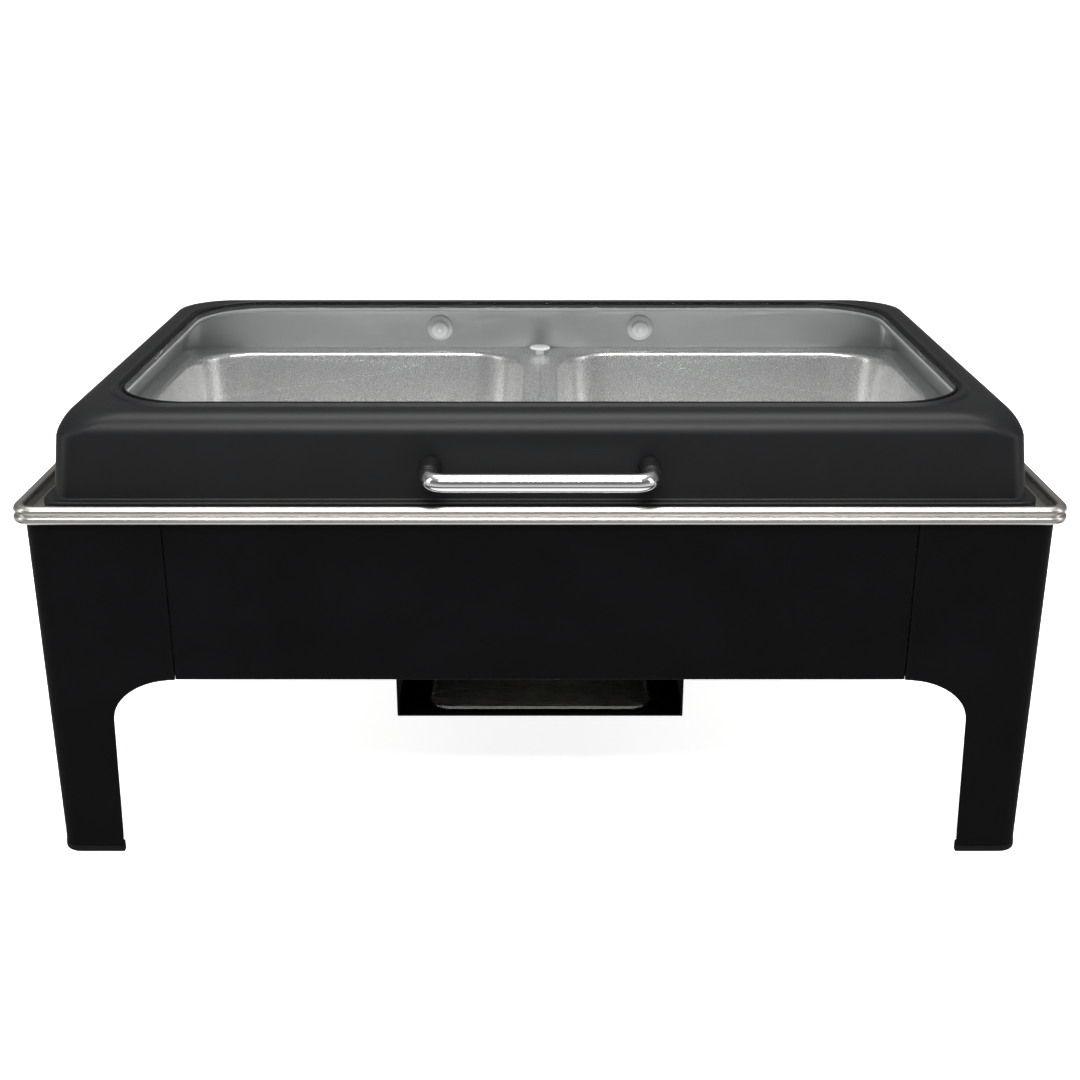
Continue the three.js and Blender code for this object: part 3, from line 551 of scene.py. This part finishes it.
def corner_sweep(section, reach):
    """Sweeps a section of (distance in from the outer face, z) round the front right corner."""
    rings = []
    for x, y, out_x, out_y in corner_path(reach):
        rings.append([(x - out_x * inwards, y - out_y * inwards, z) for inwards, z in section])
    points, faces, _ = shell(rings, False)
    size = len(section)
    last = len(points) - size
    faces.append(list(range(size)))
    faces.append([last + i for i in reversed(range(size))])
    return points, faces


def leg_shape():
    """A bent sheet whose two edges follow the arch under the apron."""
    rows = [(LEG_BOTTOM, LEG_TIP)]
    for i in range(1, 6):
        z = LEG_BOTTOM + (ARCH_SPRING - LEG_BOTTOM) * i / 6
        rows.append((z, LEG_TIP + (LEG_WAIST - LEG_TIP) * (z + 5) / (ARCH_SPRING + 5)))
    for i in range(15):
        turn = math.radians(90 * i / 14)
        reach = LEG_ARM - (LEG_ARM - LEG_WAIST) * math.cos(turn)
        rows.append((ARCH_SPRING + (APRON_BOTTOM - ARCH_SPRING) * math.sin(turn), reach))
    for i in range(1, 5):
        rows.append((APRON_BOTTOM + (STAND_TOP - APRON_BOTTOM) * i / 4, LEG_ARM))
    rings = []
    for z, reach in rows:
        path = corner_path(reach)
        outer = [(x, y, z) for x, y, _, _ in path]
        inner = [(x - ox * LEG_SHEET, y - oy * LEG_SHEET, z) for x, y, ox, oy in path]
        rings.append(outer + inner[::-1])
    points, faces, _ = shell(rings, False)
    width = len(rings[0])
    half = width // 2
    for start in (0, len(points) - width):
        for i in range(half - 1):
            faces.append([start + i, start + i + 1, start + width - 2 - i, start + width - 1 - i])
    return points, faces


def to_corner(shape, side_x, side_y):
    """Mirrors a shape from the front right corner into another."""
    return placed(shape, Matrix.Diagonal((side_x, -side_y, 1, 1)))


leg = leg_shape()

# A foot is a U that holds the leg's sheet: low outside, high inside.
FOOT_OUT = -0.45
FOOT_SLOT_OUT = -0.05
FOOT_SLOT_IN = LEG_SHEET + GAP
FOOT_IN = FOOT_SLOT_IN + 0.8
FOOT_SOLE = 1.5
FOOT_HEIGHT = 6
foot = corner_sweep(
    [
        (FOOT_OUT, 0),
        (FOOT_OUT, 3.4),
        (FOOT_SLOT_OUT, 3.6),
        (FOOT_SLOT_OUT, FOOT_SOLE),
        (FOOT_SLOT_IN, FOOT_SOLE),
        (FOOT_SLOT_IN, FOOT_HEIGHT),
        (FOOT_IN, FOOT_HEIGHT),
        (FOOT_IN, 0),
    ],
    LEG_TIP + 0.6,
)

BRACKET_OUT = 2.3
BRACKET_IN = 3.8
BRACKET_BOTTOM = 112
BRACKET_TOP = 196
bracket = corner_sweep(
    [
        (BRACKET_OUT, BRACKET_BOTTOM),
        (BRACKET_OUT, BRACKET_TOP),
        (BRACKET_IN, BRACKET_TOP),
        (BRACKET_IN, BRACKET_BOTTOM),
    ],
    LEG_ARM + 15,
)
for corner, side_x, side_y in CORNERS:
    piece = stand_in(f"leg_{corner}", *to_corner(leg, side_x, side_y), [STAND_BLACK], sharp=0)
    softened(piece, 0.45, 3)
    piece = stand_in(f"foot_{corner}", *to_corner(foot, side_x, side_y), [RUBBER], sharp=0)
    softened(piece, 0.3)
    node = f"corner_bracket_{corner}"
    softened(stand_in(node, *to_corner(bracket, side_x, side_y), [ZINC], sharp=0), 0.25)
for side in ("front", "back", "left", "right"):
    refined(f"apron_{side}", STAND_BLACK, 0.55, 3)

# ---- Heater unit ----------------------------------------------------------------------------

refined("heater_rail_front", STAND_BLACK, 0.4)
refined("heater_rail_rear", STAND_BLACK, 0.4)
refined("heater_bracket", STAND_BLACK, 0.5, 3)
refined("rear_panel", STAND_BLACK, 0.3)
refined("heat_shield", ZINC, 0.3)
refined("insulation_pad", WOOL, 1.2, 3)
refined("heating_plate", CAST, 0.8, 3)
refined("thermal_cutout", PLASTIC, 0.5)
refined("terminal_block", CERAMIC, 0.8, 3)

TRAY_WIDTH = 67.5
TRAY_DEPTH = 112
TRAY_FRONT = -126
TRAY_FLOOR = 65.8
tray_lip = arc(TRAY_DEPTH - 1.2, 67, 1.2, 10, 170, 8)
tray = nested(
    [
        (0, TRAY_FLOOR, 0),
        (TRAY_DEPTH - 1.6, TRAY_FLOOR, 12.4),
        (TRAY_DEPTH, TRAY_FLOOR, 14, 1.2),
        (TRAY_DEPTH, TRAY_FLOOR + 1.6, 14, 0.3),
        *[(d, z, d - TRAY_DEPTH + 14) for d, z in tray_lip],
        (TRAY_DEPTH - 3, TRAY_FLOOR + 1, 11, 0.6),
        (0, TRAY_FLOOR + 1, 0),
    ],
    closed=False,
    spread=TRAY_WIDTH - TRAY_DEPTH,
)
tray = placed(tray, at(0, TRAY_FRONT + TRAY_DEPTH, 0))
stand_in("reflector_tray", *tray[:2], [TRAY_STEEL])

ELEMENT_Z = 115.3
ELEMENT_RADIUS = 3.45
element_half = [
    (20, 70, 100),
    (20, 70, 107),
    (21, 65.5, 113.4),
    (24, 56, ELEMENT_Z),
    (50, 44, ELEMENT_Z),
    (60, 20, ELEMENT_Z),
    (60, -40, ELEMENT_Z),
    (46, -62, ELEMENT_Z),
]
element_route = [
    *element_half,
    (0, -68, ELEMENT_Z),
    *[(-x, y, z) for x, y, z in reversed(element_half)],
]
stand_in("heating_element", *tube(smooth_path(element_route), ELEMENT_RADIUS), [SHEATH])

WIRE_RADIUS = 1.2
WIRE_ROUTES = {
    "wire_inlet_to_switch": [
        (46, 111.6, 87.5),
        (46, 107, 87.5),
        (24, 98, 87.5),
        (3, 103, 87.5),
        (3, 109.6, 87.5),
    ],
    "wire_thermostat_to_element": [
        (-60, 102.7, 92),
        (-60, 95, 93),
        (-44, 88, 92),
        (-18, 86, 92),
        (-14, 82, 92),
        (-14, 78.4, 92),
    ],
}
for node, route in WIRE_ROUTES.items():
    stand_in(node, *tube(smooth_path(route), WIRE_RADIUS, 14), [PLASTIC])

# ---- Controls on the rear panel -------------------------------------------------------------

BODY_FOOT = 103
SHAFT_FOOT = 125.3
body = turned([(0, 0), (14, 0, 0.6), (14, 20, 0.8), (6, 21, 0.4), (6, 22, 0.3), (0, 22)])
stand_in("thermostat_body", *placed(body, at(KNOB_X, BODY_FOOT, CONTROL_Z, ALONG_Y)), [ZINC])
shaft = turned([(0, 0), (3, 0, 0.3), (3, 16, 0.5), (0, 16)])
stand_in("thermostat_shaft", *placed(shaft, at(KNOB_X, SHAFT_FOOT, CONTROL_Z, ALONG_Y)), [ZINC])

KNOB_BACK = PANEL_BACK + 0.7
KNOB_FLUTES = 24
FLUTE_DEPTH = 0.35


def knob_shape():
    """A fluted knob with a skirt, a dished face and a bore for the shaft."""
    profile = [
        (3.3, 0), (15, 0, 0.5), (15, 2.6, 0.6), (12.6, 4, 0.8), (11.8, 16, 0.9),
        (10.6, 17, 0.5), (8.8, 17, 0.6), (8, 16.3, 0.5), (3.3, 16.1), (0, 16.1),
    ]
    points, faces = turned([(p[0], p[1], *p[2:]) for p in [(0, 11.8), (3.3, 11.8), *profile]], 96)
    fluted = []
    for x, y, z in points:
        radius = math.hypot(x, y)
        if radius > 10 and 4.6 < z < 16.6:
            groove = FLUTE_DEPTH * (0.5 + 0.5 * math.cos(KNOB_FLUTES * math.atan2(y, x)))
            x, y = x * (1 - groove / radius), y * (1 - groove / radius)
        fluted.append((x, y, z))
    return fluted, faces


knob = placed(knob_shape(), at(KNOB_X, KNOB_BACK, CONTROL_Z, ALONG_Y))
knob_place = at(KNOB_X, KNOB_BACK, CONTROL_Z)
pointer = placed(box(-1.6, 6, -2, 1.6, 18.4, 11), knob_place)
softened(stand_in("thermostat_knob", *both(knob, pointer), [PLASTIC]), 0.4)
pointer_line = placed(box(-0.5, 18.3, -1, 0.5, 18.6, 10.4), knob_place)
softened(made("knob_pointer_line", *pointer_line, [MARKS], "thermostat_knob"), 0.1)

TICK_START = 16.4
dial_ticks = []
for i in range(11):
    turn = Matrix.Rotation(math.radians(-135 + 27 * i), 4, "Y")
    length = 3 if i % 5 == 0 else 1.8
    tick = box(-0.35, 0, TICK_START, 0.35, 0.18, TICK_START + length)
    dial_ticks.append(placed(tick, at(KNOB_X, PANEL_BACK, CONTROL_Z, turn)))
softened(made("dial_ticks", *both(*dial_ticks), [MARKS], "rear_panel"), 0.05, 1)

LAMP_FOOT = 111.8
lamp = turned([
    (0, 0), (4, 0, 0.4), (4, 18, 0.2), (5.8, 18, 0.3), (5.8, 19.4, 0.5), (4.6, 19.9, 0.3),
    (3.4, 21.8, 1), (0, 22.4),
])
stand_in("pilot_lamp", *placed(lamp, at(LAMP_X, LAMP_FOOT, CONTROL_Z, ALONG_Y)), [AMBER])
refined("switch_housing", PLASTIC, 0.5, 3)
refined("switch_rocker", RED, 0.45, 3)
refined("power_inlet", PLASTIC, 0.6, 3)
refined("inlet_pins", BRASS, 0.3)

# ---- Water pan and food pans ----------------------------------------------------------------

UNDER = TUB_FLOOR - PAN_SHEET
TUB_OUT = TUB_DEPTH + PAN_SHEET
RIM_IN = RIM_DEPTH - 2 * RIM_ROLL
RIM_HEM = 2.5
rim_roll = arc(RIM_DEPTH - RIM_ROLL, RIM_TOP - RIM_ROLL, RIM_ROLL, 0, 180, 14)
rim_hem = arc(RIM_DEPTH - RIM_HEM, RIM_BOTTOM + RIM_HEM, RIM_HEM, -88, 62, 9)
water_pan = nested(
    [
        (0, UNDER, 0),
        (TUB_OUT - 8.1, UNDER, 16),
        (TUB_OUT, UNDER, 24, 8),
        (TUB_OUT, UNDER + 8.1, 24),
        (TUB_OUT, LEDGE_TOP - PAN_SHEET, 24, 0.4),
        (COLLAR_DEPTH - PAN_SHEET, LEDGE_TOP - PAN_SHEET, 17, 0.8),
        (COLLAR_DEPTH - PAN_SHEET, GUTTER_TOP - PAN_SHEET, 17, 0.8),
        (RIM_IN + PAN_SHEET, GUTTER_TOP - PAN_SHEET, 8, 0.8),
        (RIM_IN + PAN_SHEET, RIM_TOP - 2, 8, 0.4),
        (RIM_DEPTH - 2.6, RIM_TOP - 2, 10, 0.4),
        (RIM_DEPTH - 2.6, RIM_BOTTOM + 0.1, 10, 0.2),
        *[(d, z, d - RIM_DEPTH + 12) for d, z in rim_hem],
        (RIM_DEPTH - 1.6, RIM_BOTTOM + 5.1, 10.5, 0.5),
        *[(d, z, d - RIM_DEPTH + 13) for d, z in rim_roll],
        (RIM_IN, GUTTER_TOP + 1, 7),
        (RIM_IN, GUTTER_TOP, 7, 0.8),
        (COLLAR_DEPTH, GUTTER_TOP, 18, 1.2),
        (COLLAR_DEPTH, LEDGE_TOP, 18, 1.2),
        (TUB_DEPTH, LEDGE_TOP, 23, 1.2),
        (TUB_DEPTH, TUB_FLOOR + 7.1, 23),
        (TUB_DEPTH, TUB_FLOOR, 22, 7),
        (TUB_DEPTH - 7.1, TUB_FLOOR, 15),
        (0, TUB_FLOOR, 0),
    ],
    closed=False,
)
stand_in("water_pan", *water_pan[:2], [RIM_STEEL], sharp=50)

WALL_FOOT = 145.1
FOOD_UNDER = FOOD_FLOOR - FOOD_SHEET
food_pan = nested(
    [
        (0, FOOD_UNDER, 0),
        (128, FOOD_UNDER, 26),
        (141.6, FOOD_UNDER, 37, 13),
        (WALL_FOOT, FOOD_FLOOR + 15, 38),
        (149.6, FOOD_TOP - 5.2, 41),
        (150.9, FOOD_TOP - FOOD_SHEET, 42, 3.4),
        (FOOD_FLANGE, FOOD_TOP - FOOD_SHEET, 18, 0.3),
        (FOOD_FLANGE, FOOD_TOP, 18, 0.5),
        (149.9, FOOD_TOP, 41, 3.4),
        (148.5, FOOD_TOP - 6, 40),
        (WALL_FOOT - FOOD_SHEET, FOOD_FLOOR + 15, 37),
        (140.7, FOOD_FLOOR, 36, 13),
        (127, FOOD_FLOOR, 26),
        (0, FOOD_FLOOR, 0),
    ],
    closed=False,
    spread=FOOD_SPREAD,
    steps=18,
    fillet=8,
)
for side, sign in SIDES:
    shape = placed(food_pan, at(sign * FOOD_CENTRE, 0, 0))
    stand_in(f"food_pan_{side}", *shape[:2], [PAN_STEEL], sharp=50)

BUMPER_Y = 140.5
BUMPER_FOOT = FOOD_TOP + GAP
bumper = turned([
    (0, 0), (3, 0, 0.3), (3, 1.8, 0.4), (2.2, 2.6, 0.4), (2.2, 3.5, 0.4), (6.6, 3.8, 0.4),
    (7.3, 4.4, 0.4), (7.3, 5.2, 0.4), (6.4, 5.7, 0.5), (0, 5.8),
])
stand_in("pan_bumper", *placed(bumper, at(0, BUMPER_Y, BUMPER_FOOT)), [SILICONE])

# ---- Lid ------------------------------------------------------------------------------------


def shoulder(radius, start, stop):
    """The lid's shoulder. Its corner radius grows towards the window's."""
    centre = LID_SHOULDER_WALL - LID_SHOULDER
    bend = arc(centre, LID_SHOULDER_Z, radius, start, stop, 12)
    return [(d, z, LID_CORNER + 19 * (z - LID_SHOULDER_Z) / radius) for d, z in bend]


WINDOW_LIP_BOTTOM = 255
bead = arc(140.1, LID_TOP - 0.4, 2, 160, 20, 10)
outside = [
    (LID_FLANGE - LID_SHEET, GUTTER_TOP + GAP, 11, 0.2),
    (LID_FLANGE, GUTTER_TOP + GAP, 12, 0.3),
    (LID_FLANGE, LID_FLANGE_TOP, 12, 1.2),
    (LID_WALL + 0.2, LID_FLANGE_TOP, LID_CORNER, 1.1),
    (LID_WALL, LID_WALL_BOTTOM + 0.2, LID_CORNER),
    *shoulder(LID_SHOULDER, 0, 90),
    (142.6, LID_TOP, 40.5, 0.5),
    *[(d, z, 43 + (142 - d) * 0.65) for d, z in reversed(bead)],
    (WINDOW_EDGE, LID_TOP + 0.3, WINDOW_CORNER, 0.3),
    (WINDOW_EDGE, WINDOW_LIP_BOTTOM, WINDOW_CORNER, 0.3),
]
inside = [
    (WINDOW_EDGE + LID_SHEET, WINDOW_LIP_BOTTOM, WINDOW_CORNER, 0.3),
    (WINDOW_EDGE + LID_SHEET, LID_TOP - LID_SHEET, WINDOW_CORNER, 0.3),
    *shoulder(LID_SHOULDER - LID_SHEET, 90, 0),
    (LID_WALL - LID_SHEET, LID_WALL_BOTTOM, LID_CORNER - LID_SHEET),
    (LID_WALL - LID_SHEET, LID_FLANGE_TOP - LID_SHEET, LID_CORNER - LID_SHEET, 0.8),
    (LID_FLANGE - LID_SHEET, LID_FLANGE_TOP - LID_SHEET, 11, 0.3),
]
points, faces, source = nested(outside + inside, steps=16)
bands = [0 if corner < len(outside) else 1 for corner in source]
stand_in("lid_shell", points, faces, [LID_BLACK, LINING_STEEL], bands, sharp=50)

glass = nested(
    [
        (0, GLASS_BOTTOM, 0),
        (GLASS_DEPTH, GLASS_BOTTOM, 45, 0.6),
        (GLASS_DEPTH, GLASS_TOP, 45, 0.6),
        (0, GLASS_TOP, 0),
    ],
    closed=False,
    steps=24,
)
stand_in("window_glass", *glass[:2], [GLASS])

GASKET_OUT = WINDOW_EDGE - GAP
GASKET_IN = 134.6
GROOVE = GLASS_DEPTH + 0.1
gasket = nested(
    [
        (GASKET_IN, GLASS_BOTTOM - 1.2, 43, 0.3),
        (GASKET_OUT, GLASS_BOTTOM - 1.2, 46, 0.3),
        (GASKET_OUT, GLASS_TOP - 1, 46),
        (GASKET_OUT, GLASS_TOP + 0.8, 46, 0.5),
        (135.5, GLASS_TOP + 0.8, 44, 0.3),
        (135.5, GLASS_TOP + GAP, 44),
        (GROOVE, GLASS_TOP + GAP, 45),
        (GROOVE, GLASS_BOTTOM - GAP, 45),
        (GASKET_IN, GLASS_BOTTOM - GAP, 43, 0.3),
    ],
    steps=24,
)
# The corners of the gasket's profile that show above the glass. They are coloured black as partly
# painted shade: the dark line round the window is partly the black lid's edge and partly shadow,
# while the rest of the gasket is milky silicone.
GASKET_EDGE_AND_SHADE = range(2, 7)
bands = [0 if corner in GASKET_EDGE_AND_SHADE else 1 for corner in gasket[2]]
stand_in("window_gasket", *gasket[:2], [RUBBER, MILKY], bands, sharp=45)

RETAINER_IN = 134.5
RETAINER_OUT = 142
RETAINER_TOP = GLASS_BOTTOM - 1.5
RETAINER_BOTTOM = RETAINER_TOP - 1.2
retainer = nested(
    [
        (RETAINER_IN, RETAINER_BOTTOM, 44, 0.3),
        (RETAINER_OUT, RETAINER_BOTTOM, 46, 0.3),
        (RETAINER_OUT, RETAINER_TOP, 46, 0.3),
        (RETAINER_IN, RETAINER_TOP, 44, 0.3),
    ],
    steps=24,
)
stand_in("window_retainer", *retainer[:2], [LINING_STEEL])

handle_bend = arc(HANDLE_HALF - HANDLE_BEND, HANDLE_Y + HANDLE_BEND, HANDLE_BEND, 0, -90, 14)
handle_half = [(HANDLE_HALF, HANDLE_TAIL, HANDLE_Z), *[(x, y, HANDLE_Z) for x, y in handle_bend]]
handle_route = [*handle_half, *[(-x, y, z) for x, y, z in reversed(handle_half)]]
stand_in("lid_handle", *tube(handle_route, HANDLE_RADIUS, 36), [CHROME], sharp=50)

FERRULE_END = -HANDLE_TAIL - GAP
SCREW_TIP_Y = -184.5
WALL_SLOPE = (LID_WALL - LID_SHOULDER_WALL) / (LID_SHOULDER_Z - LID_WALL_BOTTOM)


def wall_at(z):
    """Half depth of the lid wall's outer face at a height."""
    return LID_WALL - WALL_SLOPE * (z - LID_WALL_BOTTOM)


ferrule_root = wall_at(HANDLE_Z) + 0.5
ferrule = turned([
    (2.6, ferrule_root), (6.15, ferrule_root, 0.3), (5.95, ferrule_root + 8, 1),
    (5.8, FERRULE_END - 0.9, 0.4), (5.4, FERRULE_END, 0.4), (2.6, FERRULE_END),
], closed=True)
screw = turned([
    (0, 0), (2, 0, 0.4), (2, 24.6, 0.1), (4.5, 24.6, 0.3), (4.5, 26.4, 0.6), (3.4, 27.4, 0.5),
    (0, 27.4),
])
for side, sign in SIDES:
    x = sign * HANDLE_HALF
    stand_in(f"handle_ferrule_{side}", *placed(ferrule, at(x, 0, HANDLE_Z, OUTWARDS)), [PLASTIC])
    place = at(x, SCREW_TIP_Y, HANDLE_Z, ALONG_Y)
    stand_in(f"handle_screw_{side}", *placed(screw, place), [ZINC])

# ---- Hinge ----------------------------------------------------------------------------------

PIN_LENGTH = 200.6
PIN_HEAD = 2
refined("hinge_base", ZINC, 0.35)
pin = turned([
    (0, 0), (4.6, 0, 0.6), (4.6, PIN_HEAD, 0.3), (3, PIN_HEAD), (3, PIN_LENGTH - PIN_HEAD),
    (4.6, PIN_LENGTH - PIN_HEAD, 0.3), (4.6, PIN_LENGTH, 0.6), (0, PIN_LENGTH),
])
stand_in("hinge_pin", *placed(pin, at(-PIN_LENGTH / 2, HINGE_Y, HINGE_Z, ALONG_X)), [ZINC])
damper = turned([
    (3.3, -50), (5, -50, 0.3), (6, -49, 0.5), (6, -45, 0.2), (5.6, -44.6), (5.6, -43.6),
    (6, -43.2), (6, 43.2), (5.6, 43.6), (5.6, 44.6), (6, 45), (6, 49, 0.5), (5, 50, 0.3),
    (3.3, 50),
], closed=True)
stand_in("hinge_damper", *placed(damper, at(0, HINGE_Y, HINGE_Z, ALONG_X)), [STAND_BLACK])

bolt = turned([
    (0, -5.5), (2.4, -5.5, 0.3), (2.4, 3.6, 0.1), (4.6, 3.6, 0.3), (4.6, 5.4, 0.5),
    (3.2, 6.6, 0.5), (0, 6.8),
])
cap = turned([
    (0, -9), (1.7, -9, 0.3), (2.3, -8.4, 0.3), (2.3, -7.2, 0.3), (5.4, -7, 0.4),
    (6.25, -6.4, 0.4), (6.25, -2.4, 0.3), (9, -2.2, 0.5), (9.5, -1.6, 0.4), (9.5, -0.8, 0.2),
    (5, -0.8, 0.2), (5, -5.9, 0.2), (0, -5.9),
])
ON_REAR_WALL = Matrix.Rotation(math.atan(WALL_SLOPE) - math.pi / 2, 4, "X")
bolt_y = wall_at(HINGE_BOLT_Z) - LID_SHEET / 2
for side, sign in SIDES:
    place = at(sign * HINGE_ARM_X, bolt_y, HINGE_BOLT_Z, ON_REAR_WALL)
    refined(f"hinge_arm_{side}", ZINC, 0.35)
    stand_in(f"hinge_bolt_{side}", *placed(bolt, place), [ZINC])
    stand_in(f"bolt_cap_{side}", *placed(cap, place), [SILICONE])

# ---- Floor, light and camera ----------------------------------------------------------------

# In metres. The floor lies just under the feet.
FLOOR_REACH = 60
FLOOR_Z = -0.0005
floor_mesh = bpy.data.meshes.new("floor")
floor_corners = [
    (-FLOOR_REACH, -FLOOR_REACH, 0),
    (FLOOR_REACH, -FLOOR_REACH, 0),
    (FLOOR_REACH, FLOOR_REACH, 0),
    (-FLOOR_REACH, FLOOR_REACH, 0),
]
floor_mesh.from_pydata(floor_corners, [], [(0, 1, 2, 3)])
floor_mesh.materials.append(
    surface(
        "pale_floor", (0.9, 0.9, 0.9), 0.7, shift=0.01, patches=2, grain=300, relief=0.01,
        Emission_Color=(1, 1, 1, 1), Emission_Strength=0.85,
    )
)
floor = bpy.data.objects.new("floor", floor_mesh)
floor.location.z = FLOOR_Z
bpy.context.scene.collection.objects.link(floor)
floor.visible_glossy = False  # The room's lower half is what the object mirrors.


def softbox(name, place, target, width, height, power):
    """An area light that faces a point."""
    light = bpy.data.lights.new(name, "AREA")
    light.shape = "RECTANGLE"
    light.size = width
    light.size_y = height
    light.energy = power
    lamp_object = bpy.data.objects.new(name, light)
    lamp_object.location = place
    way = Vector(target) - Vector(place)
    lamp_object.rotation_mode = "QUATERNION"
    lamp_object.rotation_quaternion = way.to_track_quat("-Z", "Y")
    bpy.context.scene.collection.objects.link(lamp_object)


AIM = (0, 0, 0.2)
STRIP_AIM = (0, 0, 0.15)
softbox("overhead", (0, 0.1, 1.9), AIM, 1.8, 0.9, 34)
softbox("key", (0, -1.75, 2.0), AIM, 2.2, 0.7, 72)
softbox("left_strip", (-2, -0.6, 0.9), STRIP_AIM, 0.5, 1.6, 8)
softbox("right_strip", (2, -0.6, 0.9), STRIP_AIM, 0.5, 1.6, 8)

# The backdrop is white to the eye. What the object mirrors is a dim room over a pale floor
# with a dark stripe across it: the direction's height, 0 straight down and 1 straight up,
# and the brightness there.
ROOM_STRENGTH = 1.3
ROOM = [
    (0, 0.95),
    (0.1, 0.95),
    (0.16, 0.08),
    (0.23, 0.08),
    (0.29, 0.6),
    (0.45, 0.4),
    (0.56, 0.12),
    (0.76, 0.14),
    (0.95, 0.45),
]
world = bpy.data.worlds.new("studio")
bpy.context.scene.world = world
world.use_nodes = True
tree = world.node_tree
room = tree.nodes["Background"]
way = tree.nodes.new("ShaderNodeTexCoord").outputs["Generated"]
height = linked(tree, "ShaderNodeSeparateXYZ", Vector=way).outputs["Z"]
ramp = tree.nodes.new("ShaderNodeValToRGB")
stops = ramp.color_ramp.elements
while len(stops) < len(ROOM):
    stops.new(1)
for stop, (position, value) in zip(stops, ROOM):
    stop.position = position
    stop.color = (value, value, value, 1)
tree.links.new(ranged(tree, height, 0, 1, -1, 1), ramp.inputs["Fac"])
tree.links.new(ramp.outputs["Color"], room.inputs["Color"])
room.inputs["Strength"].default_value = ROOM_STRENGTH
backdrop = linked(tree, "ShaderNodeBackground", Color=(1, 1, 1, 1), Strength=1.0)
eye = tree.nodes.new("ShaderNodeLightPath").outputs["Is Camera Ray"]
mix = tree.nodes.new("ShaderNodeMixShader")
tree.links.new(eye, mix.inputs[0])
tree.links.new(room.outputs[0], mix.inputs[1])
tree.links.new(backdrop.outputs[0], mix.inputs[2])
tree.links.new(mix.outputs[0], tree.nodes["World Output"].inputs["Surface"])

LENS = 49.32
SENSOR = 36
CAMERA_PLACE = (0, -0.9227, 0.4749)
CAMERA_PITCH = 69.39
camera_data = bpy.data.cameras.new("camera")
camera_data.lens = LENS
camera_data.sensor_width = SENSOR
camera = bpy.data.objects.new("camera", camera_data)
camera.location = CAMERA_PLACE
camera.rotation_euler = (math.radians(CAMERA_PITCH), 0, 0)
bpy.context.scene.collection.objects.link(camera)
bpy.context.scene.camera = camera
bpy.context.scene.view_settings.view_transform = "Standard"
